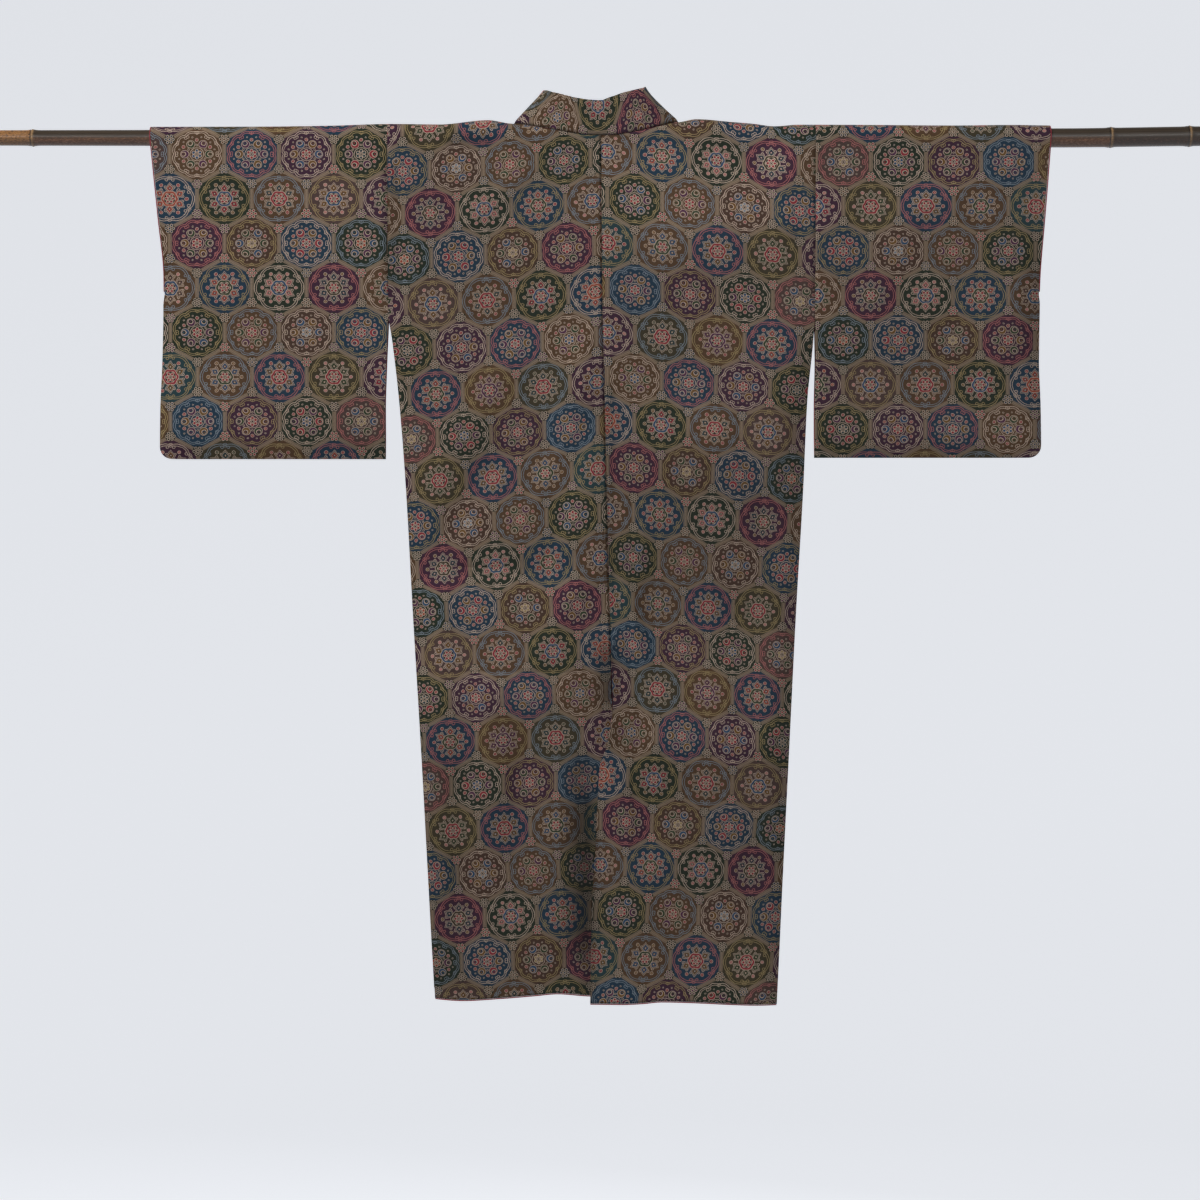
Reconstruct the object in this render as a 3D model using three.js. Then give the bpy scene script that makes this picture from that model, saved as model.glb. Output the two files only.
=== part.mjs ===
// A lined kimono robe hung flat on a bamboo rod, in millimetres.
// The rod's axis is the X axis, Z is up, and the back of the robe faces -Y.
// Left (-X) and right (+X) are the robe's sides with its back in view, the wearer's own left and right.
// "out" is a distance sideways from the middle of the back, "down" a distance below the rod's axis.
import * as THREE from 'three';

// ---------- driving dimensions ----------

const WALL = 1.6; // silk cloth and its lining
const GAP = 0.3; // between pieces at a seam
const COLLAR_WALL = 2.4; // the band is folded on itself
const COVER_WALL = 1.2; // the short outer collar
const ROLL_RADIUS = 0.8; // padded lining roll at hems and cuffs
const SIDE_ROLL_INSET = 2; // a hem's roll starts this far in from the panel's side
const SEAM_DEPTH = WALL / 2 + GAP / 2; // a closed seam's edges lie this far either side of Y = 0
const SIDE_ROUND = 46; // how far in from a closed seam a panel rounds out
const SLEEVE_ROUND = 38;

const ARMHOLE = 257; // the sleeve is sewn to the body down to here
const CUFF = 230; // the hand opening ends here
const CUFF_BLEND = 16;
const CUFF_CLOSES_FROM = 105; // the opening's two edges draw together from here
const SLEEVE_DOWN = { left: 474, right: 472 };
const SLEEVE_CORNER = 18; // radius of the rounded outer corner

const HEM_ROW = 1285; // the lowest row, before it is fitted to the hem's own curve
const HEM_FITTED_FROM = 1200;
const FRONT_HEM = 1254;
const OVERLAP_TOP = 215; // where the overlap panel's point meets the collar
const COLLAR_END = 620;
const COVER_END = 440;
const OVERLAP_TIP = 228;

const PLEAT_TURN = 1.6; // radius of the fold in the middle of the wall
const PLEAT_BLEND = 62; // the right back panel settles back to its own depth over this width
const PLEAT_DIP = 4.4; // how far the left back panel sinks under the pleat
const PLEAT_DIP_WIDTH = 95;

const ROD = { from: -933, to: 927, radiusAtMiddle: 12.87, taper: 0.00172, nodeSwell: 1, nodeHalf: 8 };
const ROD_NODES_AT = [-840, -656, -484, -316, -152, 8, 164, 316, 464, 608, 750, 866];
const ROD_SIDES = 18;
const CLOTH_OVER_ROD = 0.8; // from a node of the rod to the inside of the cloth

// Distance of the body's side edge from the middle, down the robe.
const bodySides = [
  { down: 0, left: 316, right: 314.5 },
  { down: 257, left: 315, right: 313.5 },
  { down: 300, left: 309, right: 311 },
  { down: 390, left: 299, right: 302.5 },
  { down: 520, left: 289, right: 296.5 },
  { down: 700, left: 279, right: 286 },
  { down: 900, left: 267, right: 276 },
  { down: 1100, left: 256, right: 266 },
  { down: 1285, left: 246, right: 257.5 },
];

// Where the back seam lies, how much cloth the pleat takes up beside it, and how many degrees the pleat
// has turned over.
const backSeam = [
  { down: 0, x: -1.5, takeUp: 4, turned: 0 },
  { down: 210, x: 0, takeUp: 4, turned: 0 },
  { down: 400, x: 4, takeUp: 4, turned: 0 },
  { down: 620, x: 9, takeUp: 4, turned: 0 },
  { down: 760, x: 13, takeUp: 4, turned: 6 },
  { down: 840, x: 14.5, takeUp: 5, turned: 80 },
  { down: 900, x: 6, takeUp: 9, turned: 165 },
  { down: 925, x: -3, takeUp: 14, turned: 180 },
  { down: 1050, x: -10, takeUp: 19, turned: 180 },
  { down: 1150, x: -15.5, takeUp: 22, turned: 180 },
  { down: 1285, x: -17.5, takeUp: 25, turned: 180 },
];

// The curve of the back hem on each half.
const hemCurve = {
  left: [
    { out: 0, down: 1265 },
    { out: 20, down: 1264 },
    { out: 65, down: 1260 },
    { out: 100, down: 1263 },
    { out: 150, down: 1267 },
    { out: 205, down: 1270 },
    { out: 246, down: 1269 },
  ],
  right: [
    { out: -18, down: 1276 },
    { out: 25, down: 1276 },
    { out: 60, down: 1274.5 },
    { out: 87, down: 1272 },
    { out: 130, down: 1273 },
    { out: 200, down: 1276 },
    { out: 258, down: 1278 },
  ],
};

// Height of the cloth's top line over the rod, along the robe.
const topLine = [
  { x: -666, rise: 16.2 },
  { x: -500, rise: 16.6 },
  { x: -400, rise: 18 },
  { x: -310, rise: 20.6 },
  { x: -240, rise: 19.8 },
  { x: -168, rise: 26.2 },
  { x: -133, rise: 21 },
  { x: 0, rise: 19 },
  { x: 112, rise: 23 },
  { x: 139, rise: 27.6 },
  { x: 190, rise: 23.6 },
  { x: 225, rise: 20.6 },
  { x: 254, rise: 17 },
  { x: 290, rise: 19.4 },
  { x: 400, rise: 19 },
  { x: 520, rise: 18.2 },
  { x: 600, rise: 19 },
  { x: 661, rise: 18.2 },
];

// Depth of each wall from the rod's plane, once it hangs free of the rod. sleeve: both walls of a sleeve and
// the open sides under it. The left front lies over the right one.
const hang = [
  { down: 60, back: 14.6, sleeve: 13.8, frontRight: 13, frontLeft: 15.8 },
  { down: 110, back: 13.8, sleeve: 13.2, frontRight: 10.8, frontLeft: 15.8 },
  { down: 150, back: 13.2, sleeve: 12.6, frontRight: 9.7, frontLeft: 15.7 },
  { down: 257, back: 12.6, sleeve: 10.4, frontRight: 9.5, frontLeft: 15.6 },
  { down: 400, back: 12.4, sleeve: 8, frontRight: 9.4, frontLeft: 15.6 },
  { down: 700, back: 13, sleeve: 6.5, frontRight: 9.4, frontLeft: 15.6 },
  { down: 1000, back: 14, sleeve: 6.5, frontRight: 9.4, frontLeft: 15.7 },
  { down: 1285, back: 15, sleeve: 6.5, frontRight: 9.6, frontLeft: 15.9 },
];
const FREE_OF_ROD = 60;

// How far the side slit under the arm has closed: 0 open, 1 sewn.
const sideClosing = [
  { down: 257, closed: 0 },
  { down: 390, closed: 1 },
];

// Largest folds of the back: straight soft ridges (lift towards the viewer) and troughs (negative lift).
const FOLD_PAST_END = 0.15; // share of its length that a fold runs on past its two ends
const FOLD_FADE = 0.35; // share of its length over which it fades out
const backFolds = [
  { x: 36, down: 900, toX: 76, toDown: 1056, width: 13, lift: -3 },
  { x: 26, down: 660, toX: 68, toDown: 780, width: 15, lift: 3.2 },
  { x: -216, down: 930, toX: -206, toDown: 1190, width: 17, lift: -3.4 },
  { x: -165, down: 800, toX: -160, toDown: 1010, width: 22, lift: 3 },
  { x: -24, down: 640, toX: -100, toDown: 780, width: 15, lift: 2.4 },
  { x: -300, down: 60, toX: -300, toDown: 230, width: 16, lift: -2 },
  { x: 180, down: 860, toX: 270, toDown: 862, width: 20, lift: -1.8 },
  { x: 120, down: 1000, toX: 190, toDown: 1270, width: 30, lift: 2.6 },
];

// Distance of the collar's seam from the middle, down the front; below OVERLAP_TOP it crosses the overlap
// panel.
const collarLine = [
  { down: 0, left: 126, right: 108 },
  { down: 60, left: 111, right: 95 },
  { down: 120, left: 90, right: 76 },
  { down: 215, left: 50, right: 39 },
  { down: 330, left: 6, right: -4 },
  { down: 450, left: -40, right: -48 },
  { down: 620, left: -104, right: -106 },
];

// The two straight edges of the overlap panel: its seam to the front, and its free edge.
const overlapEdges = [
  { down: 215, seamLeft: 50, seamRight: 39, freeLeft: -98, freeRight: -107 },
  { down: 1254, seamLeft: 20, seamRight: 31, freeLeft: -131, freeRight: -120 },
];

// The neck seam and the band on it, from the middle of the back outwards and over the shoulder.
// across: share of the way to the neck corner; turn: degrees round the shoulder fold, 0 at its back and 90 on
// top; lean: the band's tilt towards the middle; width: how wide it shows.
const neckCorner = { left: 100, right: 88, turn: 50 };
const neckBack = [
  { across: 0, turn: 5, leanLeft: 0, leanRight: 0, widthLeft: 50, widthRight: 50.5 },
  { across: 0.2, turn: 6, leanLeft: 4, leanRight: 2, widthLeft: 51, widthRight: 56 },
  { across: 0.45, turn: 16, leanLeft: 10, leanRight: 6, widthLeft: 51, widthRight: 59 },
  { across: 0.7, turn: 30, leanLeft: 18, leanRight: 14, widthLeft: 52.5, widthRight: 59 },
  { across: 1, turn: 50, leanLeft: 29, leanRight: 25, widthLeft: 56, widthRight: 60 },
];
const neckShoulder = [
  { turn: 50, left: 100, right: 88, leanLeft: 29, leanRight: 25, widthLeft: 56, widthRight: 60 },
  { turn: 70, left: 117, right: 102, leanLeft: 37, leanRight: 38, widthLeft: 60, widthRight: 65 },
  { turn: 90, left: 129, right: 112, leanLeft: 43, leanRight: 48, widthLeft: 63, widthRight: 69.5 },
  { turn: 115, left: 130, right: 113, leanLeft: 48, leanRight: 52, widthLeft: 63, widthRight: 68 },
  { turn: 145, left: 129, right: 112, leanLeft: 55, leanRight: 58, widthLeft: 61, widthRight: 64 },
  { turn: 180, left: 126, right: 108, leanLeft: 62, leanRight: 64, widthLeft: 59, widthRight: 60 },
];
const collarFront = [
  { down: 0, lean: 63, width: 59.5 },
  { down: 60, lean: 70, width: 58 },
  { down: 215, lean: 68.5, width: 60 },
  { down: 620, lean: 69.5, width: 68 },
];

const sleeveEdges = [
  { down: 0, innerLeft: 316, innerRight: 314.5, outerLeft: 666, outerRight: 661 },
  { down: 60, innerLeft: 316, innerRight: 314.5, outerLeft: 660, outerRight: 657 },
  { down: 120, innerLeft: 316, innerRight: 314.5, outerLeft: 654, outerRight: 652.3 },
  { down: 205, innerLeft: 315.5, innerRight: 314, outerLeft: 647, outerRight: 646.8 },
  { down: 257, innerLeft: 315, innerRight: 313.5, outerLeft: 647, outerRight: 645.5 },
  { down: 330, innerLeft: 317.5, innerRight: 314.4, outerLeft: 648.5, outerRight: 644.5 },
  { down: 400, innerLeft: 319.5, innerRight: 313, outerLeft: 651.5, outerRight: 647 },
  { down: 474, innerLeft: 319, innerRight: 313, outerLeft: 652.5, outerRight: 648 },
];

// ---------- small tools ----------

const clamp01 = t => Math.min(1, Math.max(0, t));
const swell = t => Math.sin(clamp01(t) * Math.PI / 2);
const smooth = t => clamp01(t) ** 2 * (3 - 2 * clamp01(t));
const mix = (a, b, t) => a + (b - a) * t;
const radians = degrees => degrees * Math.PI / 180;
const capital = side => side[0].toUpperCase() + side.slice(1);
const signOf = side => (side === 'left' ? -1 : 1);

// Reads one column of a table along a curve through its rows that never overshoots them.
function reader(table, key, column) {
  const at = table.map(row => row[key]);
  const value = table.map(row => row[column]);
  const step = i => (value[i + 1] - value[i]) / (at[i + 1] - at[i]);
  const slope = table.map((_, i) => {
    if (i === 0) return step(0);
    if (i === table.length - 1) return step(i - 1);
    const before = step(i - 1);
    const after = step(i);
    return before * after <= 0 ? 0 : 2 * before * after / (before + after);
  });
  return wanted => {
    const x = Math.min(at[at.length - 1], Math.max(at[0], wanted));
    let i = 0;
    while (i < at.length - 2 && x > at[i + 1]) i += 1;
    const width = at[i + 1] - at[i];
    const t = (x - at[i]) / width;
    const bend = (1 - t) ** 2 * t * slope[i] * width - t ** 2 * (1 - t) * slope[i + 1] * width;
    return value[i] * (1 + 2 * t) * (1 - t) ** 2 + value[i + 1] * t ** 2 * (3 - 2 * t) + bend;
  };
}

// A closed mesh from faces on a list of points, turned so that its faces point out.
function closedGeometry(points, faces) {
  let volume = 0;
  const normal = new THREE.Vector3();
  for (const [a, b, c] of faces) {
    volume += points[a].dot(normal.copy(points[b]).cross(points[c]));
  }
  const turned = volume < 0 ? faces.map(([a, b, c]) => [a, c, b]) : faces;
  const geometry = new THREE.BufferGeometry();
  geometry.setAttribute('position', new THREE.Float32BufferAttribute(points.flatMap(p => p.toArray()), 3));
  geometry.setIndex(turned.flat());
  geometry.computeVertexNormals();
  return geometry;
}

// A cloth wall on a grid of middle points, thickened both ways along the surface's normals.
// covered(row, column) says whether the patch above and right of that point is cloth.
function clothWall(grid, thickness = WALL, covered = () => true, shift = 0) {
  const rows = grid.length;
  const columns = grid[0].length;
  const isCloth = (i, j) => i >= 0 && j >= 0 && i < rows - 1 && j < columns - 1 && covered(i, j);
  const normals = grid.map(row => row.map(() => new THREE.Vector3()));
  const along = new THREE.Vector3();
  const across = new THREE.Vector3();
  const patches = [];
  for (let i = 0; i < rows - 1; i += 1) {
    for (let j = 0; j < columns - 1; j += 1) {
      if (!isCloth(i, j)) continue;
      patches.push([i, j]);
      along.subVectors(grid[i + 1][j + 1], grid[i][j]);
      across.subVectors(grid[i][j + 1], grid[i + 1][j]);
      const normal = along.cross(across).normalize();
      for (const [a, b] of [[i, j], [i + 1, j], [i, j + 1], [i + 1, j + 1]]) normals[a][b].add(normal);
    }
  }
  const points = [];
  const index = grid.map(row => row.map(() => null));
  const cornersOf = (i, j) => {
    if (!index[i][j]) {
      const normal = normals[i][j].normalize();
      const face = offset => grid[i][j].clone().addScaledVector(normal, offset);
      points.push(face(shift + thickness / 2), face(shift - thickness / 2));
      index[i][j] = [points.length - 2, points.length - 1];
    }
    return index[i][j];
  };
  const faces = [];
  const quad = (a, b, c, d) => faces.push([a, b, c], [a, c, d]);
  for (const [i, j] of patches) {
    const ring = [[i, j], [i, j + 1], [i + 1, j + 1], [i + 1, j]];
    const [a, b, c, d] = ring.map(([row, column]) => cornersOf(row, column));
    quad(a[0], b[0], c[0], d[0]);
    quad(a[1], d[1], c[1], b[1]);
    const open = [!isCloth(i - 1, j), !isCloth(i, j + 1), !isCloth(i + 1, j), !isCloth(i, j - 1)];
    [[a, b], [b, c], [c, d], [d, a]].forEach(([from, to], k) => {
      if (open[k]) quad(from[0], from[1], to[1], to[0]);
    });
  }
  return closedGeometry(points, faces);
}

// A round roll of the given radius along a line of points, closed at both ends.
function roll(line, radius, sides = 6) {
  const points = [];
  const faces = [];
  const up = new THREE.Vector3();
  const out = new THREE.Vector3();
  const tangent = new THREE.Vector3();
  line.forEach((centre, i) => {
    tangent.subVectors(line[Math.min(i + 1, line.length - 1)], line[Math.max(i - 1, 0)]).normalize();
    if (i === 0) up.set(0, Math.abs(tangent.z) > 0.9 ? 1 : 0, Math.abs(tangent.z) > 0.9 ? 0 : 1);
    out.crossVectors(tangent, up).normalize();
    up.crossVectors(out, tangent).normalize();
    for (let k = 0; k < sides; k += 1) {
      const angle = 2 * Math.PI * k / sides;
      const spoke = out.clone().multiplyScalar(Math.cos(angle) * radius);
      points.push(spoke.addScaledVector(up, Math.sin(angle) * radius).add(centre));
    }
  });
  for (let i = 0; i < line.length - 1; i += 1) {
    for (let k = 0; k < sides; k += 1) {
      const a = i * sides + k;
      const b = i * sides + (k + 1) % sides;
      faces.push([a, b, b + sides], [a, b + sides, a + sides]);
    }
  }
  const last = (line.length - 1) * sides;
  for (let k = 1; k < sides - 1; k += 1) faces.push([0, k + 1, k], [last, last + k, last + k + 1]);
  return closedGeometry(points, faces);
}

// ---------- the robe's surfaces ----------

const sideOut = { left: reader(bodySides, 'down', 'left'), right: reader(bodySides, 'down', 'right') };
const seamX = reader(backSeam, 'down', 'x');
const pleatTakeUp = reader(backSeam, 'down', 'takeUp');
const pleatTurned = reader(backSeam, 'down', 'turned');
const hemDown = { left: reader(hemCurve.left, 'out', 'down'), right: reader(hemCurve.right, 'out', 'down') };
const topRise = reader(topLine, 'x', 'rise');
const closed = reader(sideClosing, 'down', 'closed');
const hangDepth = Object.fromEntries(
  ['back', 'sleeve', 'frontRight', 'frontLeft'].map(name => [name, reader(hang, 'down', name)]),
);
const collarOut = { left: reader(collarLine, 'down', 'left'), right: reader(collarLine, 'down', 'right') };
const overlapOut = Object.fromEntries(
  ['seamLeft', 'seamRight', 'freeLeft', 'freeRight'].map(name => [name, reader(overlapEdges, 'down', name)]),
);

const rodRadius = x => ROD.radiusAtMiddle + ROD.taper * x;

// Depth of a wall's middle where it leaves the rod.
const depthAtRod = x => rodRadius(x) + ROD.nodeSwell + CLOTH_OVER_ROD + WALL / 2;

// Each wall leaves the rod at the rod's own depth and settles to its hanging depth.
function freeDepth(name, x, down) {
  const share = smooth(down / FREE_OF_ROD);
  return mix(depthAtRod(x), hangDepth[name](Math.max(down, FREE_OF_ROD)), share);
}

// Length of the fold over the rod, close to half of an ellipse.
const foldLength = x => Math.PI / 2 * (depthAtRod(x) + topRise(x) - WALL / 2);

// A point on the fold over the rod.
function foldPoint(x, degrees) {
  const angle = radians(degrees);
  return new THREE.Vector3(x, -depthAtRod(x) * Math.cos(angle), (topRise(x) - WALL / 2) * Math.sin(angle));
}

// Sum of the back's ridges and troughs at a point.
function foldLift(x, down) {
  return backFolds.reduce((sum, fold) => {
    const run = new THREE.Vector2(fold.toX - fold.x, fold.toDown - fold.down);
    const from = new THREE.Vector2(x - fold.x, down - fold.down);
    const share = from.dot(run) / run.lengthSq();
    const aside = Math.abs(from.cross(run)) / run.length() / fold.width;
    const past = Math.min(share, 1 - share) + FOLD_PAST_END;
    const ends = smooth(past / FOLD_FADE);
    return sum + fold.lift * Math.exp(-aside * aside) * ends;
  }, 0);
}

// Depth at a body panel's side edge: open and level with the sleeve at the armhole, shut at the side seam.
function edgeDepth(x, down) {
  return mix(freeDepth('sleeve', x, Math.min(down, ARMHOLE)), SEAM_DEPTH, smooth(closed(down)));
}

// Depth of a body wall before the pleat: the free wall, drawn in to its side edge.
function bodyDepth(side, name, out, down) {
  const x = signOf(side) * out;
  const inFromSide = sideOut[side](down) - out;
  const rounded = swell(inFromSide / SIDE_ROUND);
  const lift = name === 'back' ? foldLift(x, down) * smooth(inFromSide / SIDE_ROUND) : 0;
  return mix(edgeDepth(x, down), freeDepth(name, x, down), rounded) + lift;
}

// The pleat beside the back seam at one height: the fold's start and the seam's own place.
function pleatAt(down) {
  const angle = radians(pleatTurned(down));
  const takeUp = pleatTakeUp(down);
  const seam = seamX(down);
  const foldX = seam - PLEAT_TURN * Math.sin(angle) - takeUp * Math.cos(angle);
  const sunk = PLEAT_DIP * smooth(pleatTurned(down) / 180);
  const foldY = -bodyDepth('left', 'back', Math.max(-foldX, 0), down) + sunk;
  const seamY = foldY - PLEAT_TURN * (1 - Math.cos(angle)) - takeUp * Math.sin(angle);
  return { angle, takeUp, seam, seamY, foldX, foldY, sunk };
}

// A point of the left back panel: flat to the pleat's fold, round it, and back under the right panel to the
// seam. beyond: how far past the start of the fold, along the cloth; 0 or less is on the flat.
function leftBackPoint(x, down, beyond = 0) {
  const pleat = pleatAt(down);
  if (beyond <= 0) {
    const near = smooth(1 - (pleat.foldX - x) / PLEAT_DIP_WIDTH);
    return new THREE.Vector3(x, -bodyDepth('left', 'back', -x, down) + pleat.sunk * near, -down);
  }
  const turnLength = PLEAT_TURN * pleat.angle;
  const angle = Math.min(beyond, turnLength) / PLEAT_TURN;
  const straight = Math.max(0, beyond - turnLength);
  return new THREE.Vector3(
    pleat.foldX + PLEAT_TURN * Math.sin(angle) + straight * Math.cos(pleat.angle),
    pleat.foldY - PLEAT_TURN * (1 - Math.cos(angle)) - straight * Math.sin(pleat.angle),
    -down,
  );
}

// Where the right back panel starts: beside the left panel's end, or on top of it once the pleat has turned
// over.
function rightSeam(down) {
  const pleat = pleatAt(down);
  const half = pleat.angle / 2;
  return {
    x: pleat.seam + GAP * Math.cos(half) ** 2 + (WALL / 2 + GAP) * Math.sin(pleat.angle),
    y: pleat.seamY - (WALL + GAP) * Math.sin(half) ** 2,
  };
}

// A point of the right back panel; it settles from the seam's depth to its own.
function rightBackPoint(x, down) {
  const seam = rightSeam(down);
  const own = place => -bodyDepth('right', 'back', place, down);
  const share = 1 - smooth((x - seam.x) / PLEAT_BLEND);
  return new THREE.Vector3(x, own(x) + (seam.y - own(seam.x)) * share, -down);
}

// A point of a back panel at a height above (rise > 0, along the fold) or below the rod's axis.
function backPoint(side, x, rise, beyond = 0) {
  if (rise > 0) return foldPoint(x, 180 * rise / foldLength(x));
  return side === 'left' ? leftBackPoint(x, -rise, beyond) : rightBackPoint(x, -rise);
}

function frontPoint(side, out, down) {
  const x = signOf(side) * out;
  return new THREE.Vector3(x, bodyDepth(side, `front${capital(side)}`, out, down), -down);
}

// ---------- body panels ----------

const backRows = [
  HEM_ROW, 1262, 1220, 1170, 1115, 1060, 1005, 960, 925, 900, 875, 850, 825, 795, 760, 710,
  660, 600, 545, 490, 435, 390, 350, 310, ARMHOLE, 200, 150, 100, 60, 28, 0,
];
const turnRows = [25, neckCorner.turn, 70, 90, 115, 145, 180];
const frontRows = [
  22, 60, 110, 160, OVERLAP_TOP, ARMHOLE, 310, 350, 390, 440, 520, COLLAR_END,
  720, 820, 920, 1020, 1120, 1200, FRONT_HEM,
];
const outerShares = [0, 0.07, 0.2, 0.42, 0.7, 1]; // from the side edge to the neck column
const NECK_COLUMN = outerShares.length - 1;
const innerShares = [0.34, 0.66, 0.88, 1]; // from the neck column to the pleat or the seam
const turnShares = [1 / 3, 2 / 3, 1];
const NECK_ROW = backRows.length + turnRows.indexOf(neckCorner.turn);
const NECK_FIT_DOWN = 28; // rows above this are fitted to the neck curve

const neckTurn = reader(neckBack, 'across', 'turn');
const shoulderOut = {
  left: reader(neckShoulder, 'turn', 'left'),
  right: reader(neckShoulder, 'turn', 'right'),
};

// Rows near the hem follow the hem's own curve.
function fittedDown(side, out, down) {
  const share = clamp01((down - HEM_FITTED_FROM) / (HEM_ROW - HEM_FITTED_FROM));
  return down + (hemDown[side](out) - HEM_ROW) * share;
}

// Rows near the neck end on the neck's curve, for columns inside the neck corner.
function fittedRise(side, x, rise) {
  const across = clamp01(signOf(side) * x / neckCorner[side]);
  const top = neckTurn(across) / 180 * foldLength(x);
  const corner = neckCorner.turn / 180 * foldLength(x);
  const share = (rise + NECK_FIT_DOWN) / (corner + NECK_FIT_DOWN);
  return share <= 0 ? rise : mix(-NECK_FIT_DOWN, top, share);
}

// The columns inside the neck corner, one row of them.
function innerBack(side, down, rise) {
  const neck = signOf(side) * neckCorner[side];
  const pleat = pleatAt(down);
  const seam = side === 'left' ? pleat.foldX - GAP / 2 : rightSeam(down).x + GAP / 2;
  const place = (x, beyond = 0) => {
    if (rise === null) return backPoint(side, x, -fittedDown(side, signOf(side) * x, down), beyond);
    return backPoint(side, x, fittedRise(side, x, rise(x)), beyond);
  };
  const flat = innerShares.map(share => place(mix(neck, seam, share)));
  if (side === 'right') return flat;
  const turnLength = PLEAT_TURN * pleat.angle;
  const least = pleat.takeUp - GAP;
  const over = turnShares.map(share => Math.max(turnLength * share, least * share / 3));
  const ends = [...over, Math.max(turnLength, least / 3) + least * 2 / 3];
  if (rise === null) {
    return [...flat, ...ends.map(beyond => place(pleat.foldX + beyond, beyond))];
  }
  return [...flat, ...ends.map(beyond => place(pleat.foldX - GAP / 2 + beyond))];
}

// One body length: back hem, up the back, over the rod, down the front.
function bodyGrid(side) {
  const sign = signOf(side);
  const grid = [];
  for (const down of backRows) {
    const edge = sideOut[side](down) - GAP / 2;
    const outer = outerShares.map(share => {
      const out = mix(edge, neckCorner[side], share);
      return backPoint(side, sign * out, -fittedDown(side, out, down));
    });
    const nearNeck = down < NECK_FIT_DOWN;
    grid.push([...outer, ...innerBack(side, down, nearNeck ? () => -down : null)]);
  }
  for (const turn of turnRows) {
    const edge = sideOut[side](0) - GAP / 2;
    const inner = turn <= neckCorner.turn ? neckCorner[side] : shoulderOut[side](turn);
    const outer = outerShares.map(share => foldPoint(sign * mix(edge, inner, share), turn));
    const neck = innerBack(side, 0, x => Math.min(turn, neckCorner.turn) / 180 * foldLength(x));
    grid.push([...outer, ...neck]);
  }
  for (const down of frontRows) {
    const edge = sideOut[side](down) - GAP / 2;
    const inner = down <= OVERLAP_TOP ? collarOut[side](down) : overlapOut[`seam${capital(side)}`](down);
    const outer = outerShares.map(share => frontPoint(side, mix(edge, inner + GAP / 2, share), down));
    const unused = grid[0].slice(outer.length).map(() => outer[outer.length - 1].clone());
    grid.push([...outer, ...unused]);
  }
  return grid;
}

const bodyGrids = { left: bodyGrid('left'), right: bodyGrid('right') };
const bodyPanel = side => clothWall(
  bodyGrids[side],
  WALL,
  (row, column) => column < NECK_COLUMN || row < NECK_ROW,
);

// ---------- sleeves ----------

const sleeveRowsAbove = [0, 3, 8, SLEEVE_CORNER, 40, 84, 134, 180]; // heights above the sleeve's bottom
const sleeveRowsDown = [ARMHOLE, CUFF + CUFF_BLEND, CUFF, CUFF - CUFF_BLEND, 185, 145, 100, 60, 28];
const sleeveTurns = [0, 30, 60, 90, 120, 150, 180];
const sleeveShares = [0, 0.12, 0.34, 0.58, 0.8, 0.92, 0.97, 1];
const CUFF_INSET = GAP + 2 * ROLL_RADIUS;

const sleeveEdge = Object.fromEntries(
  ['innerLeft', 'innerRight', 'outerLeft', 'outerRight']
    .map(name => [name, reader(sleeveEdges, 'down', name)]),
);

// How far a rounded corner takes an edge in, at a height above the sleeve's bottom.
function cornerInset(above) {
  const below = Math.max(0, SLEEVE_CORNER - above);
  return SLEEVE_CORNER - Math.sqrt(SLEEVE_CORNER ** 2 - below ** 2);
}

function sleeveOuter(side, down) {
  const cuffRoll = CUFF_INSET * (1 - smooth((down - CUFF) / CUFF_BLEND));
  return sleeveEdge[`outer${capital(side)}`](down) - cuffRoll - cornerInset(SLEEVE_DOWN[side] - down);
}

// Depth of a sleeve's wall: shut at the bottom and at the outer edge below the hand opening.
function sleeveDepth(side, out, down) {
  const x = signOf(side) * out;
  const shut = smooth((down - CUFF_CLOSES_FROM) / (CUFF + CUFF_BLEND - CUFF_CLOSES_FROM));
  const fromOuter = swell((sleeveOuter(side, down) - out) / SLEEVE_ROUND);
  const fromBottom = swell((SLEEVE_DOWN[side] - down) / SLEEVE_ROUND);
  const fullness = mix(1, fromOuter, shut) * fromBottom;
  return mix(SEAM_DEPTH, freeDepth('sleeve', x, down), fullness);
}

// One sleeve length: bottom of the back, up, over the rod, down the front to the bottom.
function sleeveGrid(side) {
  const sign = signOf(side);
  const downs = [...sleeveRowsAbove.map(above => SLEEVE_DOWN[side] - above), ...sleeveRowsDown];
  const outs = down => {
    const inner = sleeveEdge[`inner${capital(side)}`](down) + GAP / 2;
    return sleeveShares.map(share => mix(inner, sleeveOuter(side, down), share));
  };
  const wallRow = (down, facing) => outs(down).map(
    out => new THREE.Vector3(sign * out, facing * sleeveDepth(side, out, down), -down),
  );
  return [
    ...downs.map(down => wallRow(down, -1)),
    ...sleeveTurns.map(turn => outs(0).map(out => foldPoint(sign * out, turn))),
    ...downs.toReversed().map(down => wallRow(down, 1)),
  ];
}

const sleeveGrids = { left: sleeveGrid('left'), right: sleeveGrid('right') };

// The lining's roll round a hand opening, from the sleeve's own edge moved out.
function cuffRoll(side) {
  const edge = sleeveGrids[side].map(row => row[row.length - 1]);
  const outwards = new THREE.Vector3(signOf(side) * (GAP + ROLL_RADIUS), 0, 0);
  return roll(edge.filter(point => point.z >= -CUFF).map(point => point.clone().add(outwards)), ROLL_RADIUS);
}

// ---------- overlap panels ----------

const overlapRows = [
  FRONT_HEM, 1200, 1120, 1020, 920, 820, 720,
  COLLAR_END, 570, 520, 480, 440, 390, 350, 310, ARMHOLE, OVERLAP_TIP,
];
const overlapShares = [0, 0.25, 0.5, 0.75, 1];

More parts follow.
